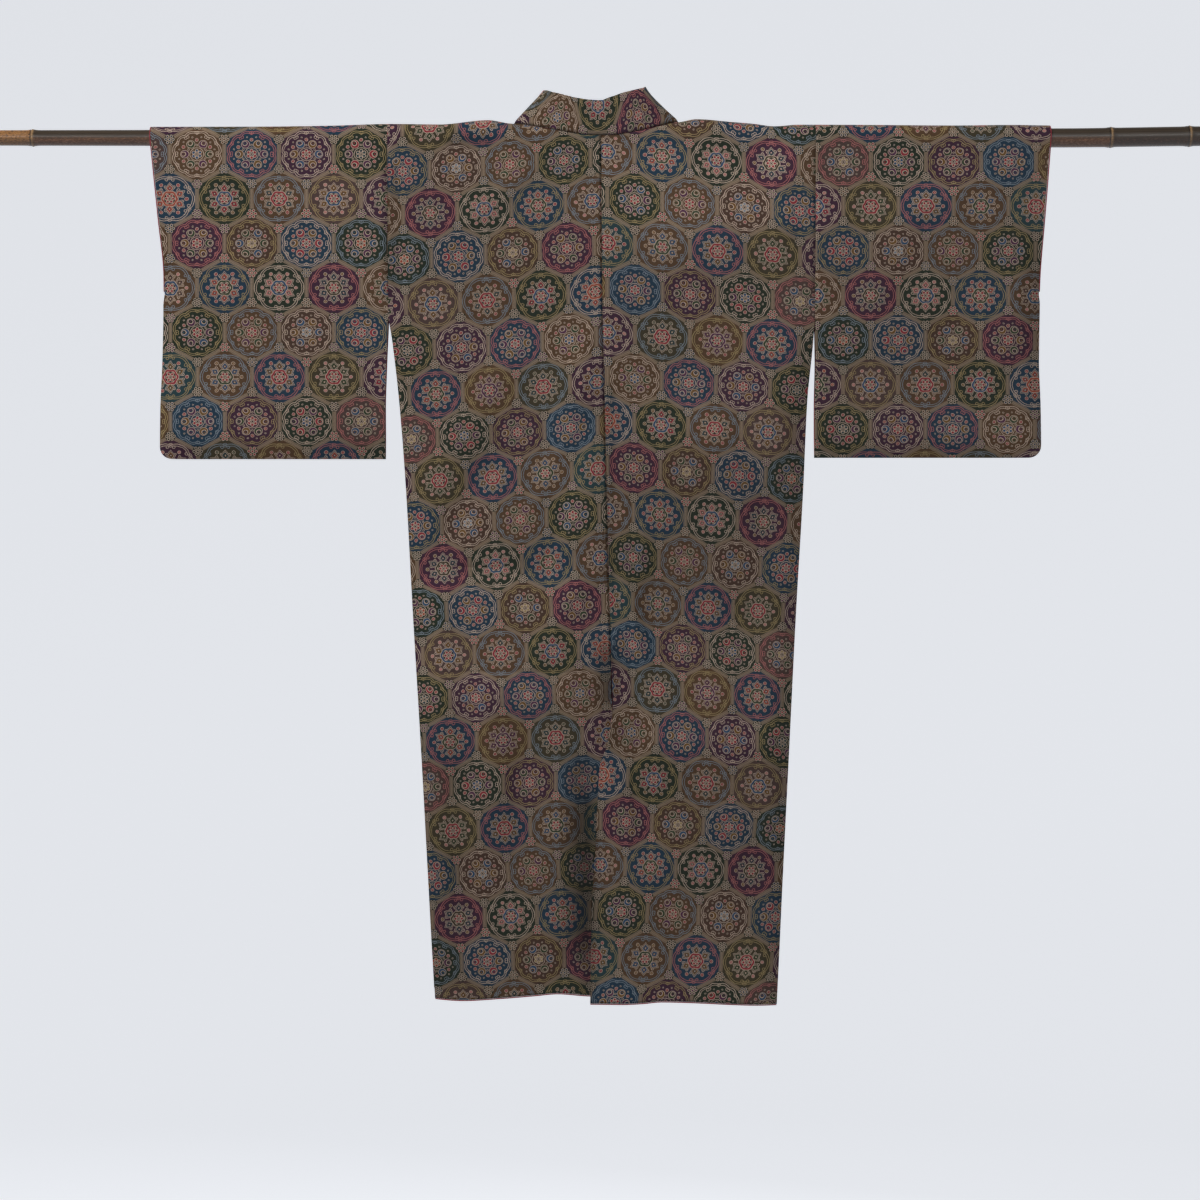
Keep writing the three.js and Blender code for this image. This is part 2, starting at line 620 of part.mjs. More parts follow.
// The overlap panel's free edge, or the collar's seam where that crosses the panel first.
function overlapFree(side, down) {
  const free = overlapOut[`free${capital(side)}`](down);
  return down > COLLAR_END ? free : Math.max(free, collarOut[side](down));
}

function overlapGrid(side) {
  return overlapRows.map(down => {
    const seam = overlapOut[`seam${capital(side)}`](down) - GAP / 2;
    const free = overlapFree(side, down) + GAP / 2;
    return overlapShares.map(share => frontPoint(side, mix(seam, free, share), down));
  });
}

const overlapGrids = { left: overlapGrid('left'), right: overlapGrid('right') };

// ---------- collar ----------

const bandShares = [0, 0.33, 0.67, 1];
const NECK_ROOM = 1.25; // the band's edge clears the shoulder's by this many times its own half wall

// The points that the band is sewn to on one side, from the front end to the middle of the back.
function neckEdge(side) {
  const leanColumn = `lean${capital(side)}`;
  const widthColumn = `width${capital(side)}`;
  const read = (table, key) => [reader(table, key, leanColumn), reader(table, key, widthColumn)];
  const [backLean, backWidth] = read(neckBack, 'across');
  const [turnLean, turnWidth] = read(neckShoulder, 'turn');
  const frontLean = reader(collarFront, 'down', 'lean');
  const frontWidth = reader(collarFront, 'down', 'width');
  const firstTurn = backRows.length + turnRows.length - 1;
  const down = point => -point.z;
  const front = [
    ...overlapGrids[side].filter(row => down(row[0]) <= COLLAR_END).map(row => row[row.length - 1]),
    ...frontRows.map((_, i) => bodyGrids[side][firstTurn + 1 + i][NECK_COLUMN])
      .filter(point => down(point) <= OVERLAP_TOP).toReversed(),
  ].map(point => ({ point, lean: frontLean(down(point)), width: frontWidth(down(point)), turn: 180 }));
  const shoulder = turnRows.filter(turn => turn >= neckCorner.turn).toReversed().map(turn => ({
    point: bodyGrids[side][backRows.length + turnRows.indexOf(turn)][NECK_COLUMN],
    lean: turnLean(turn),
    width: turnWidth(turn),
    turn,
  }));
  const back = innerShares.map((_, i) => {
    const point = bodyGrids[side][NECK_ROW][NECK_COLUMN + 1 + i];
    const across = Math.abs(point.x) / neckCorner[side];
    return { point, lean: backLean(across), width: backWidth(across), turn: neckTurn(across) };
  });
  return [...front, ...shoulder, ...back].map(station => ({ ...station, side }));
}

// The whole band's stations, from the left front's end round the neck to the right front's end. Each starts a
// seam's gap from the panel, and further where the shoulder's wall crosses under the band's own thickness.
function collarRun() {
  const right = neckEdge('right').toReversed();
  return [...neckEdge('left'), ...right].map(({ point, lean, width, turn, side }) => {
    const towards = new THREE.Vector3(-signOf(side) * Math.sin(radians(lean)), 0, Math.cos(radians(lean)));
    const clear = GAP + NECK_ROOM * COLLAR_WALL / 2 * Math.sin(radians(turn));
    return { seam: point.clone().addScaledVector(towards, clear), towards, width, down: -point.z };
  });
}

const bandGrid = (stations, shares) => stations.map(
  ({ seam, towards, width }) => shares.map(share => seam.clone().addScaledVector(towards, share * width)),
);

const collarBand = () => clothWall(bandGrid(collarRun(), bandShares), COLLAR_WALL);

// The cover lies on the band's outer face, made from the same points moved out.
function collarCover() {
  const stations = collarRun().filter(station => station.down <= COVER_END);
  const shift = COLLAR_WALL / 2 + GAP + COVER_WALL / 2;
  return clothWall(bandGrid(stations, bandShares), COVER_WALL, () => true, shift);
}

// ---------- hem rolls ----------

// The roll under a row of hem points, shortened at both ends so that it stays clear of the next roll.
function hemRoll(edge) {
  const line = edge.map(point => point.clone().setZ(point.z - GAP - ROLL_RADIUS));
  const shorten = (end, next, by) => end.addScaledVector(next.clone().sub(end).normalize(), by);
  shorten(line[0], line[1], SIDE_ROLL_INSET);
  shorten(line[line.length - 1], line[line.length - 2], GAP);
  return roll(line, ROLL_RADIUS);
}

const backHem = side => bodyGrids[side][0];
const frontHem = side => bodyGrids[side][bodyGrids[side].length - 1].slice(0, outerShares.length);

// ---------- rod ----------

// A bamboo culm: a slow taper with a low swelling at each node.
function bambooRod() {
  const profile = [new THREE.Vector2(0, ROD.from), new THREE.Vector2(rodRadius(ROD.from), ROD.from)];
  const { nodeHalf, nodeSwell } = ROD;
  for (const at of ROD_NODES_AT) {
    for (const [along, share] of [[-nodeHalf, 0], [-1.5, 1], [1.5, 1], [nodeHalf, 0]]) {
      profile.push(new THREE.Vector2(rodRadius(at + along) + nodeSwell * share, at + along));
    }
  }
  profile.push(new THREE.Vector2(rodRadius(ROD.to), ROD.to), new THREE.Vector2(0, ROD.to));
  return new THREE.LatheGeometry(profile, ROD_SIDES);
}

// ---------- the scene graph ----------

const finishes = {
  silk: { color: 0x4e423e, roughness: 0.72, metalness: 0 },
  collarSilk: { color: 0x544743, roughness: 0.72, metalness: 0 },
  lining: { color: 0x8e1f2c, roughness: 0.6, metalness: 0 },
  bamboo: { color: 0x4a3a2e, roughness: 0.45, metalness: 0 },
};

function named(name, geometry, finish) {
  const mesh = new THREE.Mesh(geometry, new THREE.MeshStandardMaterial(finishes[finish]));
  mesh.name = name;
  return mesh;
}

const kimono = new THREE.Group();
for (const side of ['left', 'right']) {
  kimono.add(
    named(`body_${side}`, bodyPanel(side), 'silk'),
    named(`sleeve_${side}`, clothWall(sleeveGrids[side]), 'silk'),
    named(`okumi_${side}`, clothWall(overlapGrids[side]), 'silk'),
    named(`hem_roll_back_${side}`, hemRoll(backHem(side)), 'lining'),
    named(`hem_roll_front_${side}`, hemRoll(frontHem(side)), 'lining'),
    named(`hem_roll_okumi_${side}`, hemRoll(overlapGrids[side][0]), 'lining'),
    named(`cuff_roll_${side}`, cuffRoll(side), 'lining'),
  );
}
kimono.add(
  named('collar', collarBand(), 'collarSilk'),
  named('collar_cover', collarCover(), 'collarSilk'),
);

const rod = named('bamboo_rod', bambooRod(), 'bamboo');
rod.rotation.z = -Math.PI / 2; // the culm's own axis is Y
kimono.add(rod);

export default kimono;
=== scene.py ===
# %% [markdown]
# # A lined silk robe, hung on a bamboo rod
#
# The robe is cut from one narrow bolt of silk: two body lengths that run up the back, over the shoulders
# and down the front, two sleeves, two slim overlap panels and a collar. It is hung flat, its back to us, on
# a smoked bamboo rod that runs through both sleeves.
#
# Cloth can be made in Blender by simulation, by sculpting or by a formula. A robe that hangs flat hardly
# drapes, but its edges, pleat and seams have to lie exactly where they were sewn. So each panel is a surface
# worked out from its own sizes, the creases are placed one by one, and a modifier gives it thickness.

import bpy
import numpy as np
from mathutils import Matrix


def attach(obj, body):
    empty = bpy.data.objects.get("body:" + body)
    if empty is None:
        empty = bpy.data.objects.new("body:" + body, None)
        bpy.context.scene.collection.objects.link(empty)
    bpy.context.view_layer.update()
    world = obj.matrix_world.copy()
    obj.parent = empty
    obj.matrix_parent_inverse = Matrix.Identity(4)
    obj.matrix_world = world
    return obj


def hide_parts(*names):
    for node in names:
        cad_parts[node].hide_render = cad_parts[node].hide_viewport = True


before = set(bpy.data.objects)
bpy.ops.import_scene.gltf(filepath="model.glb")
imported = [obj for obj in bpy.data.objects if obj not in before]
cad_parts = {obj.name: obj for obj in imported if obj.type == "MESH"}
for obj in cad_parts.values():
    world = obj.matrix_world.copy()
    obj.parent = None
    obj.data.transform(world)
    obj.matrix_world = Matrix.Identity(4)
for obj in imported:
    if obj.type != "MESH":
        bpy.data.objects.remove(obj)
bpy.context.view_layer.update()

print("frame: nodes", len(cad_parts))

# %% [markdown]
# ## Short tables and curves
#
# Every edge of the robe is a slow curve: a side that narrows to the hem, a hem that sags a little. Each is
# kept as a short table of real sizes in millimetres, measured `down` from the rod's axis or `out` from the
# middle of the back. A curve is then run through the rows. A plain spline would swing past the rows and
# give the cloth waves that nobody sewed, so this one has no slope at a peak and never overshoots.

# %% Tables, curves and small tools
MM = 0.001  # metres in a millimetre
SIGN = {"left": -1, "right": 1}


def table(columns, *rows):
    """Named columns of a short table: {name: array of its numbers}."""
    return dict(zip(columns.split(), np.array(rows, dtype=float).T))


def curve(rows, column, at):
    """Reads a column at any place of the table's first column, along cubics through the rows.

    A row's slope is the harmonic mean of the slopes beside it, or 0 where they have opposite signs.
    """
    x, y = next(iter(rows.values())), rows[column]
    step = np.diff(y) / np.diff(x)
    before, after = step[:-1], step[1:]
    same = before * after > 0
    inner = np.where(same, 2 * before * after / np.where(same, before + after, 1), 0)
    slope = np.concatenate([step[:1], inner, step[-1:]])
    at = np.clip(at, x[0], x[-1])
    i = np.clip(np.searchsorted(x, at) - 1, 0, len(x) - 2)
    width = x[i + 1] - x[i]
    t = (at - x[i]) / width
    bend = width * t * (1 - t) * ((1 - t) * slope[i] - t * slope[i + 1])
    return y[i] * (1 + 2 * t) * (1 - t) ** 2 + y[i + 1] * t**2 * (3 - 2 * t) + bend


def smooth(t):
    """An even S-curve from 0 to 1: 3t² - 2t³."""
    t = np.clip(t, 0, 1)
    return t * t * (3 - 2 * t)


def swell(t):
    """A quarter of a sine wave: steep at 0, level at 1."""
    return np.sin(np.clip(t, 0, 1) * np.pi / 2)


def mix(a, b, t):
    return a + (b - a) * t


def points(x, y, z):
    """One array of points from three arrays of any shapes that fit together."""
    return np.stack(np.broadcast_arrays(x, y, z), axis=-1).astype(float)


print("half way up an S-curve:", smooth(0.5))

# %% [markdown]
# ## The sizes of the robe
#
# These are the same sizes that the solids were made from, so that each panel lies exactly on its solid:
# the sides, the back seam with the pleat that has turned over beside it, the hem, the top line over the
# rod, and how far each wall hangs from the rod's plane.

# %% Sizes
# millimetres, where nothing else is said
WALL = 1.6  # silk and its lining
GAP = 0.3  # between pieces at a seam
SEWN_GAP = 0.04  # left at the back seam here, where the sewn edges press together
COLLAR_WALL = 2.4
COVER_WALL = 1.2
ROLL_RADIUS = 0.8
SIDE_ROLL_INSET = 2
SEAM_DEPTH = WALL / 2 + GAP / 2
SIDE_ROUND = 46
SLEEVE_ROUND = 38
ARMHOLE = 257
CUFF = 230
CUFF_BLEND = 16
CUFF_CLOSES_FROM = 105
SLEEVE_DOWN = {"left": 474, "right": 472}
SLEEVE_CORNER = 18
HEM_ROW = 1285
HEM_FITTED_FROM = 1200
FRONT_HEM = 1254
OVERLAP_TOP = 215
COLLAR_END = 620
COVER_END = 440
PLEAT_TURN = 1.6
PLEAT_BLEND = 62
PLEAT_DIP = 9.5
PLEAT_DIP_WIDTH = 78
PLEAT_DIP_POWER = 1.6
SEAM_DIP = 3.6
SEAM_DIP_WIDTH = 2.2
ARMHOLE_DIP = 2.2
ARMHOLE_DIP_WIDTH = 3
ARMHOLE_DIP_FADE = 30
DIPS_START_OVER = 25  # down from the rod
SEAM_OPEN_UNTIL = 30  # degrees of the pleat's turn past which the seam is out of sight
ROD_FROM, ROD_TO = -933, 927
ROD_RADIUS = 12.87
ROD_TAPER = 0.00172
NODE_SWELL = 1
ROD_NODES_AT = np.array([-840, -656, -484, -316, -152, 8, 164, 316, 464, 608, 750, 866])
CLOTH_OVER_ROD = 0.8
FREE_OF_ROD = 60

body_sides = table(
    "down left right",
    (0, 316, 314.5), (257, 315, 313.5), (300, 309, 311), (390, 299, 302.5), (520, 289, 296.5),
    (700, 279, 286), (900, 267, 276), (1100, 256, 266), (1285, 246, 257.5),
)
back_seam = table(
    "down x take_up turned",
    (0, -1.5, 4, 0), (210, 0, 4, 0), (400, 4, 4, 0), (620, 9, 4, 0), (760, 13, 4, 6), (840, 14.5, 5, 80),
    (900, 6, 9, 165), (925, -3, 14, 180), (1050, -10, 19, 180), (1150, -15.5, 22, 180),
    (1285, -17.5, 25, 180),
)
hem_curve = {
    "left": table(
        "out down", (0, 1265), (20, 1264), (65, 1260), (100, 1263), (150, 1267), (205, 1270), (246, 1269)
    ),
    "right": table(
        "out down", (-18, 1276), (25, 1276), (60, 1274.5), (87, 1272), (130, 1273), (200, 1276), (258, 1278)
    ),
}
top_line = table(
    "x rise",
    (-666, 16.2), (-500, 16.6), (-400, 18), (-310, 20.6), (-240, 19.8), (-168, 26.2), (-133, 21), (0, 19),
    (112, 23), (139, 27.6), (190, 23.6), (225, 20.6), (254, 17), (290, 19.4), (400, 19), (520, 18.2),
    (600, 19), (661, 18.2),
)
hang = table(
    "down back sleeve front_right front_left",
    (60, 14.6, 13.8, 13, 15.8), (110, 13.8, 13.2, 10.8, 15.8), (150, 13.2, 12.6, 9.7, 15.7),
    (257, 12.6, 10.4, 9.5, 15.6), (400, 12.4, 8, 9.4, 15.6), (700, 13, 6.5, 9.4, 15.6),
    (1000, 14, 6.5, 9.4, 15.7), (1285, 15, 6.5, 9.6, 15.9),
)
side_closing = table("down closed", (257, 0), (390, 1))
collar_line = table(
    "down left right",
    (0, 126, 108), (60, 111, 95), (120, 90, 76), (215, 50, 39), (330, 6, -4), (450, -40, -48),
    (620, -104, -106),
)
overlap_edges = table(
    "down seam_left seam_right free_left free_right",
    (215, 50, 39, -98, -107), (1254, 20, 31, -131, -120),
)
NECK_CORNER = {"left": 100, "right": 88}
NECK_TURN = 50  # degrees round the shoulder fold at the neck corner
neck_back = table(
    "across turn lean_left lean_right width_left width_right",
    (0, 5, 0, 0, 50, 50.5), (0.2, 6, 4, 2, 51, 56), (0.45, 16, 10, 6, 51, 59), (0.7, 30, 18, 14, 52.5, 59),
    (1, 50, 29, 25, 56, 60),
)
neck_shoulder = table(
    "turn left right lean_left lean_right width_left width_right",
    (50, 100, 88, 29, 25, 56, 60), (70, 117, 102, 37, 38, 60, 65), (90, 129, 112, 43, 48, 63, 69.5),
    (115, 130, 113, 48, 52, 63, 68), (145, 129, 112, 55, 58, 61, 64), (180, 126, 108, 62, 64, 59, 60),
)
collar_front = table("down lean width", (0, 63, 59.5), (60, 70, 58), (215, 68.5, 60), (620, 69.5, 68))
sleeve_edges = table(
    "down inner_left inner_right outer_left outer_right",
    (0, 316, 314.5, 666, 661), (60, 316, 314.5, 660, 657), (120, 316, 314.5, 654, 652.3),
    (205, 315.5, 314, 647, 646.8), (257, 315, 313.5, 647, 645.5), (330, 317.5, 314.4, 648.5, 644.5),
    (400, 319.5, 313, 651.5, 647), (474, 319, 313, 652.5, 648),
)
print("sizes: the robe is", 2 * sleeve_edges["outer_left"][0], "mm across the sleeves")

# %% [markdown]
# ## Creases placed one by one
#
# Silk that has been folded away keeps its fold lines, and a robe pulled straight on a rod gets soft ridges
# that run from where it is held to where it is slack. A noise texture would make them all alike. Here each
# is one row: where it starts and ends, how wide it is and how far it lifts towards us. A negative lift is a
# trough. Its section is a bell curve, and it fades out at both ends.

# %% Creases
FOLD_PAST_END = 0.15
FOLD_FADE = 0.35

FOLD_COLUMNS = "x down to_x to_down width lift"
back_folds = table(
    FOLD_COLUMNS,
    (18, 835, 76, 1056, 14, -5.2), (26, 660, 68, 780, 15, 4.2), (-216, 930, -206, 1190, 20, -4.6),
    (-165, 800, -160, 1010, 26, 4.6), (-24, 640, -100, 780, 15, 3.2), (-300, 60, -300, 230, 16, -2),
    (180, 860, 270, 862, 20, -1.8), (120, 1000, 190, 1270, 34, 4.2),
)
back_creases = table(
    FOLD_COLUMNS,
    # broad swells: where the cloth is slack between the places that hold it
    (-22, 300, -26, 660, 38, 5.6), (60, 172, 284, 150, 56, 4.6), (50, 462, 262, 470, 78, 5.2),
    (50, 716, 262, 700, 84, -5.4), (40, 900, 268, 908, 46, 4), (-272, 642, -40, 640, 26, -3.4),
    (-270, 838, -54, 846, 74, 5.4), (-280, 230, -90, 300, 60, -3.6), (-262, 1120, -90, 1090, 62, -3.6),
    (120, 1120, 256, 1090, 54, -3.8),
    # the left half: streaks from the middle of the back down to the side
    (-8, 268, -78, 440, 10, 3), (-14, 330, -104, 560, 12, 3.4), (-18, 420, -84, 640, 9, -2.6),
    (-120, 300, -250, 520, 26, 3.8), (-150, 460, -262, 640, 22, -4), (-236, 640, -250, 900, 22, 4.2),
    (-196, 1130, -166, 1200, 9, -2.8), (-110, 860, -128, 1080, 20, -3.6), (-60, 940, -70, 1200, 18, 3.4),
    (-306, 34, -304, 246, 15, -4.2),
    # the right half
    (16, 640, 62, 880, 8, -3.2), (30, 250, 150, 420, 28, -3.8), (120, 380, 230, 540, 32, 3.8),
    (200, 420, 262, 640, 20, -3.8), (64, 560, 40, 760, 15, 3.2), (150, 640, 190, 880, 26, 3.8),
    (228, 900, 236, 1190, 22, -3.8), (84, 1080, 120, 1240, 15, -3.2), (12, 560, 20, 720, 8, -3.4),
    # the shoulders
    (-96, 40, -230, 150, 20, 2.8), (-236, 14, -150, 18, 13, -2.2), (96, 36, 200, 150, 20, 3),
    (255, 20, 268, 150, 24, 3.6), (306, 40, 306, 240, 12, -2.6),
)
STORAGE_WIDTH = 2.6
storage_folds = table(
    FOLD_COLUMNS,
    (-276, 788, -4, 789, STORAGE_WIDTH, -0.7),
    (-281, 633, -132, 634, STORAGE_WIDTH, -0.8),
    (6, 912, 273, 914, STORAGE_WIDTH, -0.7),
)
front_folds = {
    "left": table(
        FOLD_COLUMNS,
        (-270, 90, -120, 300, 20, 1.2), (-250, 420, -110, 700, 24, -1.3), (-150, 560, -60, 900, 22, 1.4),
        (-216, 820, -206, 1180, 20, 1.5), (-110, 930, -96, 1240, 16, -1.3),
        (-274, 786, -30, 788, STORAGE_WIDTH, 0.6),
    ),
    "right": table(
        FOLD_COLUMNS,
        (270, 80, 130, 290, 22, 1.1), (262, 400, 120, 640, 22, -1.2), (170, 540, 90, 880, 26, 1.3),
        (228, 840, 214, 1190, 18, -1.4), (120, 980, 104, 1240, 18, 1.2),
        (30, 905, 270, 907, STORAGE_WIDTH, 0.6),
    ),
}


def crease_lift(creases, x, down):
    """Sum over the rows of lift * exp(-(distance from the line / width)²), faded at the line's two ends."""
    total = np.zeros(np.broadcast(x, down).shape)
    for x0, down0, x1, down1, width, lift in zip(*(creases[name] for name in FOLD_COLUMNS.split())):
        run_x, run_down = x1 - x0, down1 - down0
        length = np.hypot(run_x, run_down)
        share = ((x - x0) * run_x + (down - down0) * run_down) / length**2
        aside = ((x - x0) * run_down - (down - down0) * run_x) / length / width
        ends = smooth((np.minimum(share, 1 - share) + FOLD_PAST_END) / FOLD_FADE)
        total += lift * np.exp(-aside * aside) * ends
    return total


print("creases on the back:", len(back_folds["x"]) + len(back_creases["x"]))

# %% [markdown]
# ## Fading, and painted light and shade
#
# A robe is stored folded along set lines, so its dye fades in patches that end at those lines. The same
# patches also paint light and shade into the colour: painted shade inside the pleat, beside the seams and
# beside the collar, and painted light on the shoulders and sleeves. A noise would put the patches anywhere.
# Each row here is one patch of the back: its middle, its half sizes, how soft its edge is and how much
# lighter (+) or darker (-) it is.

# %% Fading patches, with painted light and shade
PATCH_COLUMNS = "x down half_x half_down edge change"
fade_and_shade = table(
    PATCH_COLUMNS,
    (150, 78, 150, 62, 70, 0.2), (262, 34, 26, 22, 40, 0.3), (140, 585, 130, 130, 60, -0.1),
    (-190, 300, 110, 240, 80, -0.06), (150, 825, 112, 70, 40, 0.05), (140, 1050, 124, 125, 50, -0.04),
    (232, 1245, 36, 40, 60, 0.2), (90, 1262, 110, 24, 40, 0.1), (-160, 735, 112, 92, 22, 0.12),
    (-55, 505, 20, 80, 46, 0.09), (-47, 305, 16, 16, 34, 0.1), (-232, 1070, 28, 190, 46, -0.16),
    (-120, 1130, 110, 140, 90, -0.08), (10, 515, 7, 150, 16, -0.24), (8, 790, 15, 44, 26, -0.5),
    (49, 728, 8, 30, 14, 0.16), (44, 960, 5, 90, 12, -0.16), (-34, 1060, 15, 150, 44, -0.5),
    (-20, 1120, 10, 150, 26, -0.35), (-180, 860, 8, 34, 20, 0.12), (-311, 140, 10, 100, 14, -0.24),
    (308, 150, 5, 90, 10, -0.14), (-195, 6, 34, 12, 22, -0.22), (470, 250, 165, 92, 60, -0.06),
    (615, 440, 22, 22, 50, 0.16), (-355, 400, 26, 44, 50, -0.08), (-480, 200, 170, 210, 60, 0.1),
)


def fade_and_painted_shade(grid):
    """Change of lightness at each point of the back, from fading and painted light and shade: the sum of two
    S-curves multiplied, for each patch.
    """
    total = np.zeros(grid.shape[:2])
    for x, down, half_x, half_down, edge, change in zip(*(fade_and_shade[name] for name in PATCH_COLUMNS.split())):
        across = smooth((half_x + edge / 2 - np.abs(grid[..., 0] - x)) / edge)
        along = smooth((half_down + edge / 2 - np.abs(-grid[..., 2] - down)) / edge)
        total += change * across * along
    return total * (grid[..., 1] < 0)


print("faded patches:", len(fade_and_shade["x"]))

# %% [markdown]
# ## From the rod to the hem: where each wall hangs
#
# Over the rod the cloth follows half an ellipse. Below it each wall settles from the rod's own depth to the
# depth where it hangs, and draws in to a closed edge at a side seam. All of these take whole arrays of
# places and give whole arrays of depths.


# %% Depths of the walls
def rod_radius(x):
    return ROD_RADIUS + ROD_TAPER * x


def depth_at_rod(x):
    """Depth of a wall's middle where it leaves the rod."""
    return rod_radius(x) + NODE_SWELL + CLOTH_OVER_ROD + WALL / 2


def top_rise(x):
    """Height of the wall's middle over the rod's axis at the top line."""
    return curve(top_line, "rise", x) - WALL / 2


def fold_length(x):
    """Length of cloth over the rod: half the way round an ellipse, taken as a circle of the mean radius."""
    return np.pi / 2 * (depth_at_rod(x) + top_rise(x))


def fold_point(x, degrees):
    """A point on the half ellipse over the rod, 0 at the back and 180 at the front."""
    angle = np.radians(degrees)
    return points(x, -depth_at_rod(x) * np.cos(angle), top_rise(x) * np.sin(angle))


def free_depth(wall, x, down):
    """A wall's depth: the rod's own at the rod, mixed by an S-curve into the hanging depth."""
    hanging = curve(hang, wall, np.maximum(down, FREE_OF_ROD))
    return mix(depth_at_rod(x), hanging, smooth(down / FREE_OF_ROD))


def armhole_dip(aside, down):
    """How far cloth sinks in beside the armhole seam: a bell curve across it, gone below the armhole."""
    above = 1 - smooth((down - ARMHOLE + ARMHOLE_DIP_FADE) / ARMHOLE_DIP_FADE)
    return ARMHOLE_DIP * np.exp(-((aside / ARMHOLE_DIP_WIDTH) ** 2)) * above


def edge_depth(x, down):
    """Depth at a body panel's side: level with the sleeve at the armhole, shut at the side seam."""
    closed = smooth(curve(side_closing, "closed", down))
    return mix(free_depth("sleeve", x, np.minimum(down, ARMHOLE)), SEAM_DEPTH, closed)


def body_depth(side, wall, out, down):
    """A body wall's depth: the free wall, drawn in to its side along a quarter sine, plus its creases."""
    x = SIGN[side] * out
    in_from_side = curve(body_sides, side, down) - out
    rounded = swell(in_from_side / SIDE_ROUND)
    if wall == "back":
        creases = [back_folds, back_creases, storage_folds]
    else:
        creases = [front_folds[side]]
    lift = sum(crease_lift(rows, x, down) for rows in creases) * smooth(in_from_side / SIDE_ROUND)
    dip = armhole_dip(in_from_side, down) * smooth(down / DIPS_START_OVER)
    return mix(edge_depth(x, down), free_depth(wall, x, down), rounded) + lift - dip


print("the back hangs", round(float(body_depth("right", "back", 150, 700)), 1), "mm behind the rod's axis")

# %% [markdown]
# ## The pleat beside the back seam
#
# Low on the back the cloth beside the middle seam has turned over on itself: the left half runs on under
# the right one, folds and comes back to the seam. It is worked out at each height from two numbers, how
# much cloth the pleat takes up and how many degrees it has turned.


# %% The pleat and the two halves of the back
def pleat_at(down):
    """The fold's start, the seam's place and the pleat's angle at each height."""
    turned = curve(back_seam, "turned", down)
    angle = np.radians(turned)
    take_up = curve(back_seam, "take_up", down)
    seam_x = curve(back_seam, "x", down)
    fold_x = seam_x - PLEAT_TURN * np.sin(angle) - take_up * np.cos(angle)
    sunk = PLEAT_DIP * smooth(turned / 180)
    fold_y = -body_depth("left", "back", np.maximum(-fold_x, 0), down) + sunk
    seam_y = fold_y - PLEAT_TURN * (1 - np.cos(angle)) - take_up * np.sin(angle)
    return dict(
        angle=angle, take_up=take_up, seam_x=seam_x, seam_y=seam_y, fold_x=fold_x, fold_y=fold_y, sunk=sunk
    )


def seam_dip(x, down):
    """How far the cloth sinks in beside the back seam: a narrow bell curve across it."""
    in_sight = 1 - smooth(curve(back_seam, "turned", down) / SEAM_OPEN_UNTIL)
    aside = (x - curve(back_seam, "x", down)) / SEAM_DIP_WIDTH
    return SEAM_DIP * np.exp(-aside * aside) * in_sight


def left_back_point(x, down, beyond):
    """The left half of the back: flat up to the pleat's fold, round it, and straight back to the seam."""
    pleat = pleat_at(down)
    near = smooth(1 - (pleat["fold_x"] - x) / PLEAT_DIP_WIDTH) ** PLEAT_DIP_POWER
    flat = points(x, -body_depth("left", "back", -x, down) + pleat["sunk"] * near, -down)
    around = np.minimum(beyond, PLEAT_TURN * pleat["angle"]) / PLEAT_TURN
    straight = np.maximum(0, beyond - PLEAT_TURN * pleat["angle"])
    folded = points(
        pleat["fold_x"] + PLEAT_TURN * np.sin(around) + straight * np.cos(pleat["angle"]),
        pleat["fold_y"] - PLEAT_TURN * (1 - np.cos(around)) - straight * np.sin(pleat["angle"]),
        -down,
    )
    place = np.where((beyond > 0)[..., None], folded, flat)
    place[..., 1] += seam_dip(place[..., 0], down)
    return place


def right_seam(down):
    """Where the right half starts: beside the left half's end, or on top of it past the pleat's turn."""
    pleat = pleat_at(down)
    half = pleat["angle"] / 2
    aside = SEWN_GAP * np.cos(half) ** 2 + (WALL / 2 + GAP) * np.sin(pleat["angle"])
    return pleat["seam_x"] + aside, pleat["seam_y"] - (WALL + GAP) * np.sin(half) ** 2


def right_back_point(x, down):
    """The right half of the back; it settles from the seam's depth to its own."""
    seam_x, seam_y = right_seam(down)
    step = seam_y + body_depth("right", "back", seam_x, down)
    share = 1 - smooth((x - seam_x) / PLEAT_BLEND)
    return points(x, -body_depth("right", "back", x, down) + step * share + seam_dip(x, down), -down)


def back_point(side, x, rise, beyond):
    """A point of the back at a height: along the fold above the rod's axis, on the wall below it."""
    over = fold_point(x, 180 * rise / fold_length(x))
    down = np.maximum(-rise, 0)
    wall = left_back_point(x, down, beyond) if side == "left" else right_back_point(x, down)
    return np.where((rise > 0)[..., None], over, wall)


def front_point(side, out, down):
    return points(SIGN[side] * out, body_depth(side, f"front_{side}", out, down), -down)


print("the pleat takes up", round(float(curve(back_seam, "take_up", HEM_ROW))), "mm at the hem")

# %% [markdown]
# ## The weave's own coordinates
#
# The pattern is woven in straight columns along the bolt, and the cloth's cut carries it: both halves of
# the back come from one length that was turned round, so the columns run from the middle seam on both
# sides, and the left half is upside down. A projection from the front would slide over every fold, so each
# panel gets a UV map that says which column and row of the weave lies at each point. The map is in metres
# of cloth, and the tables say where a column falls and how far apart the columns look at each height.

# %% Where the woven columns and rows fall
COLUMN_PITCH = 80.4
ROW_PITCH = 65.4
ROWS_IN_REPEAT = 8

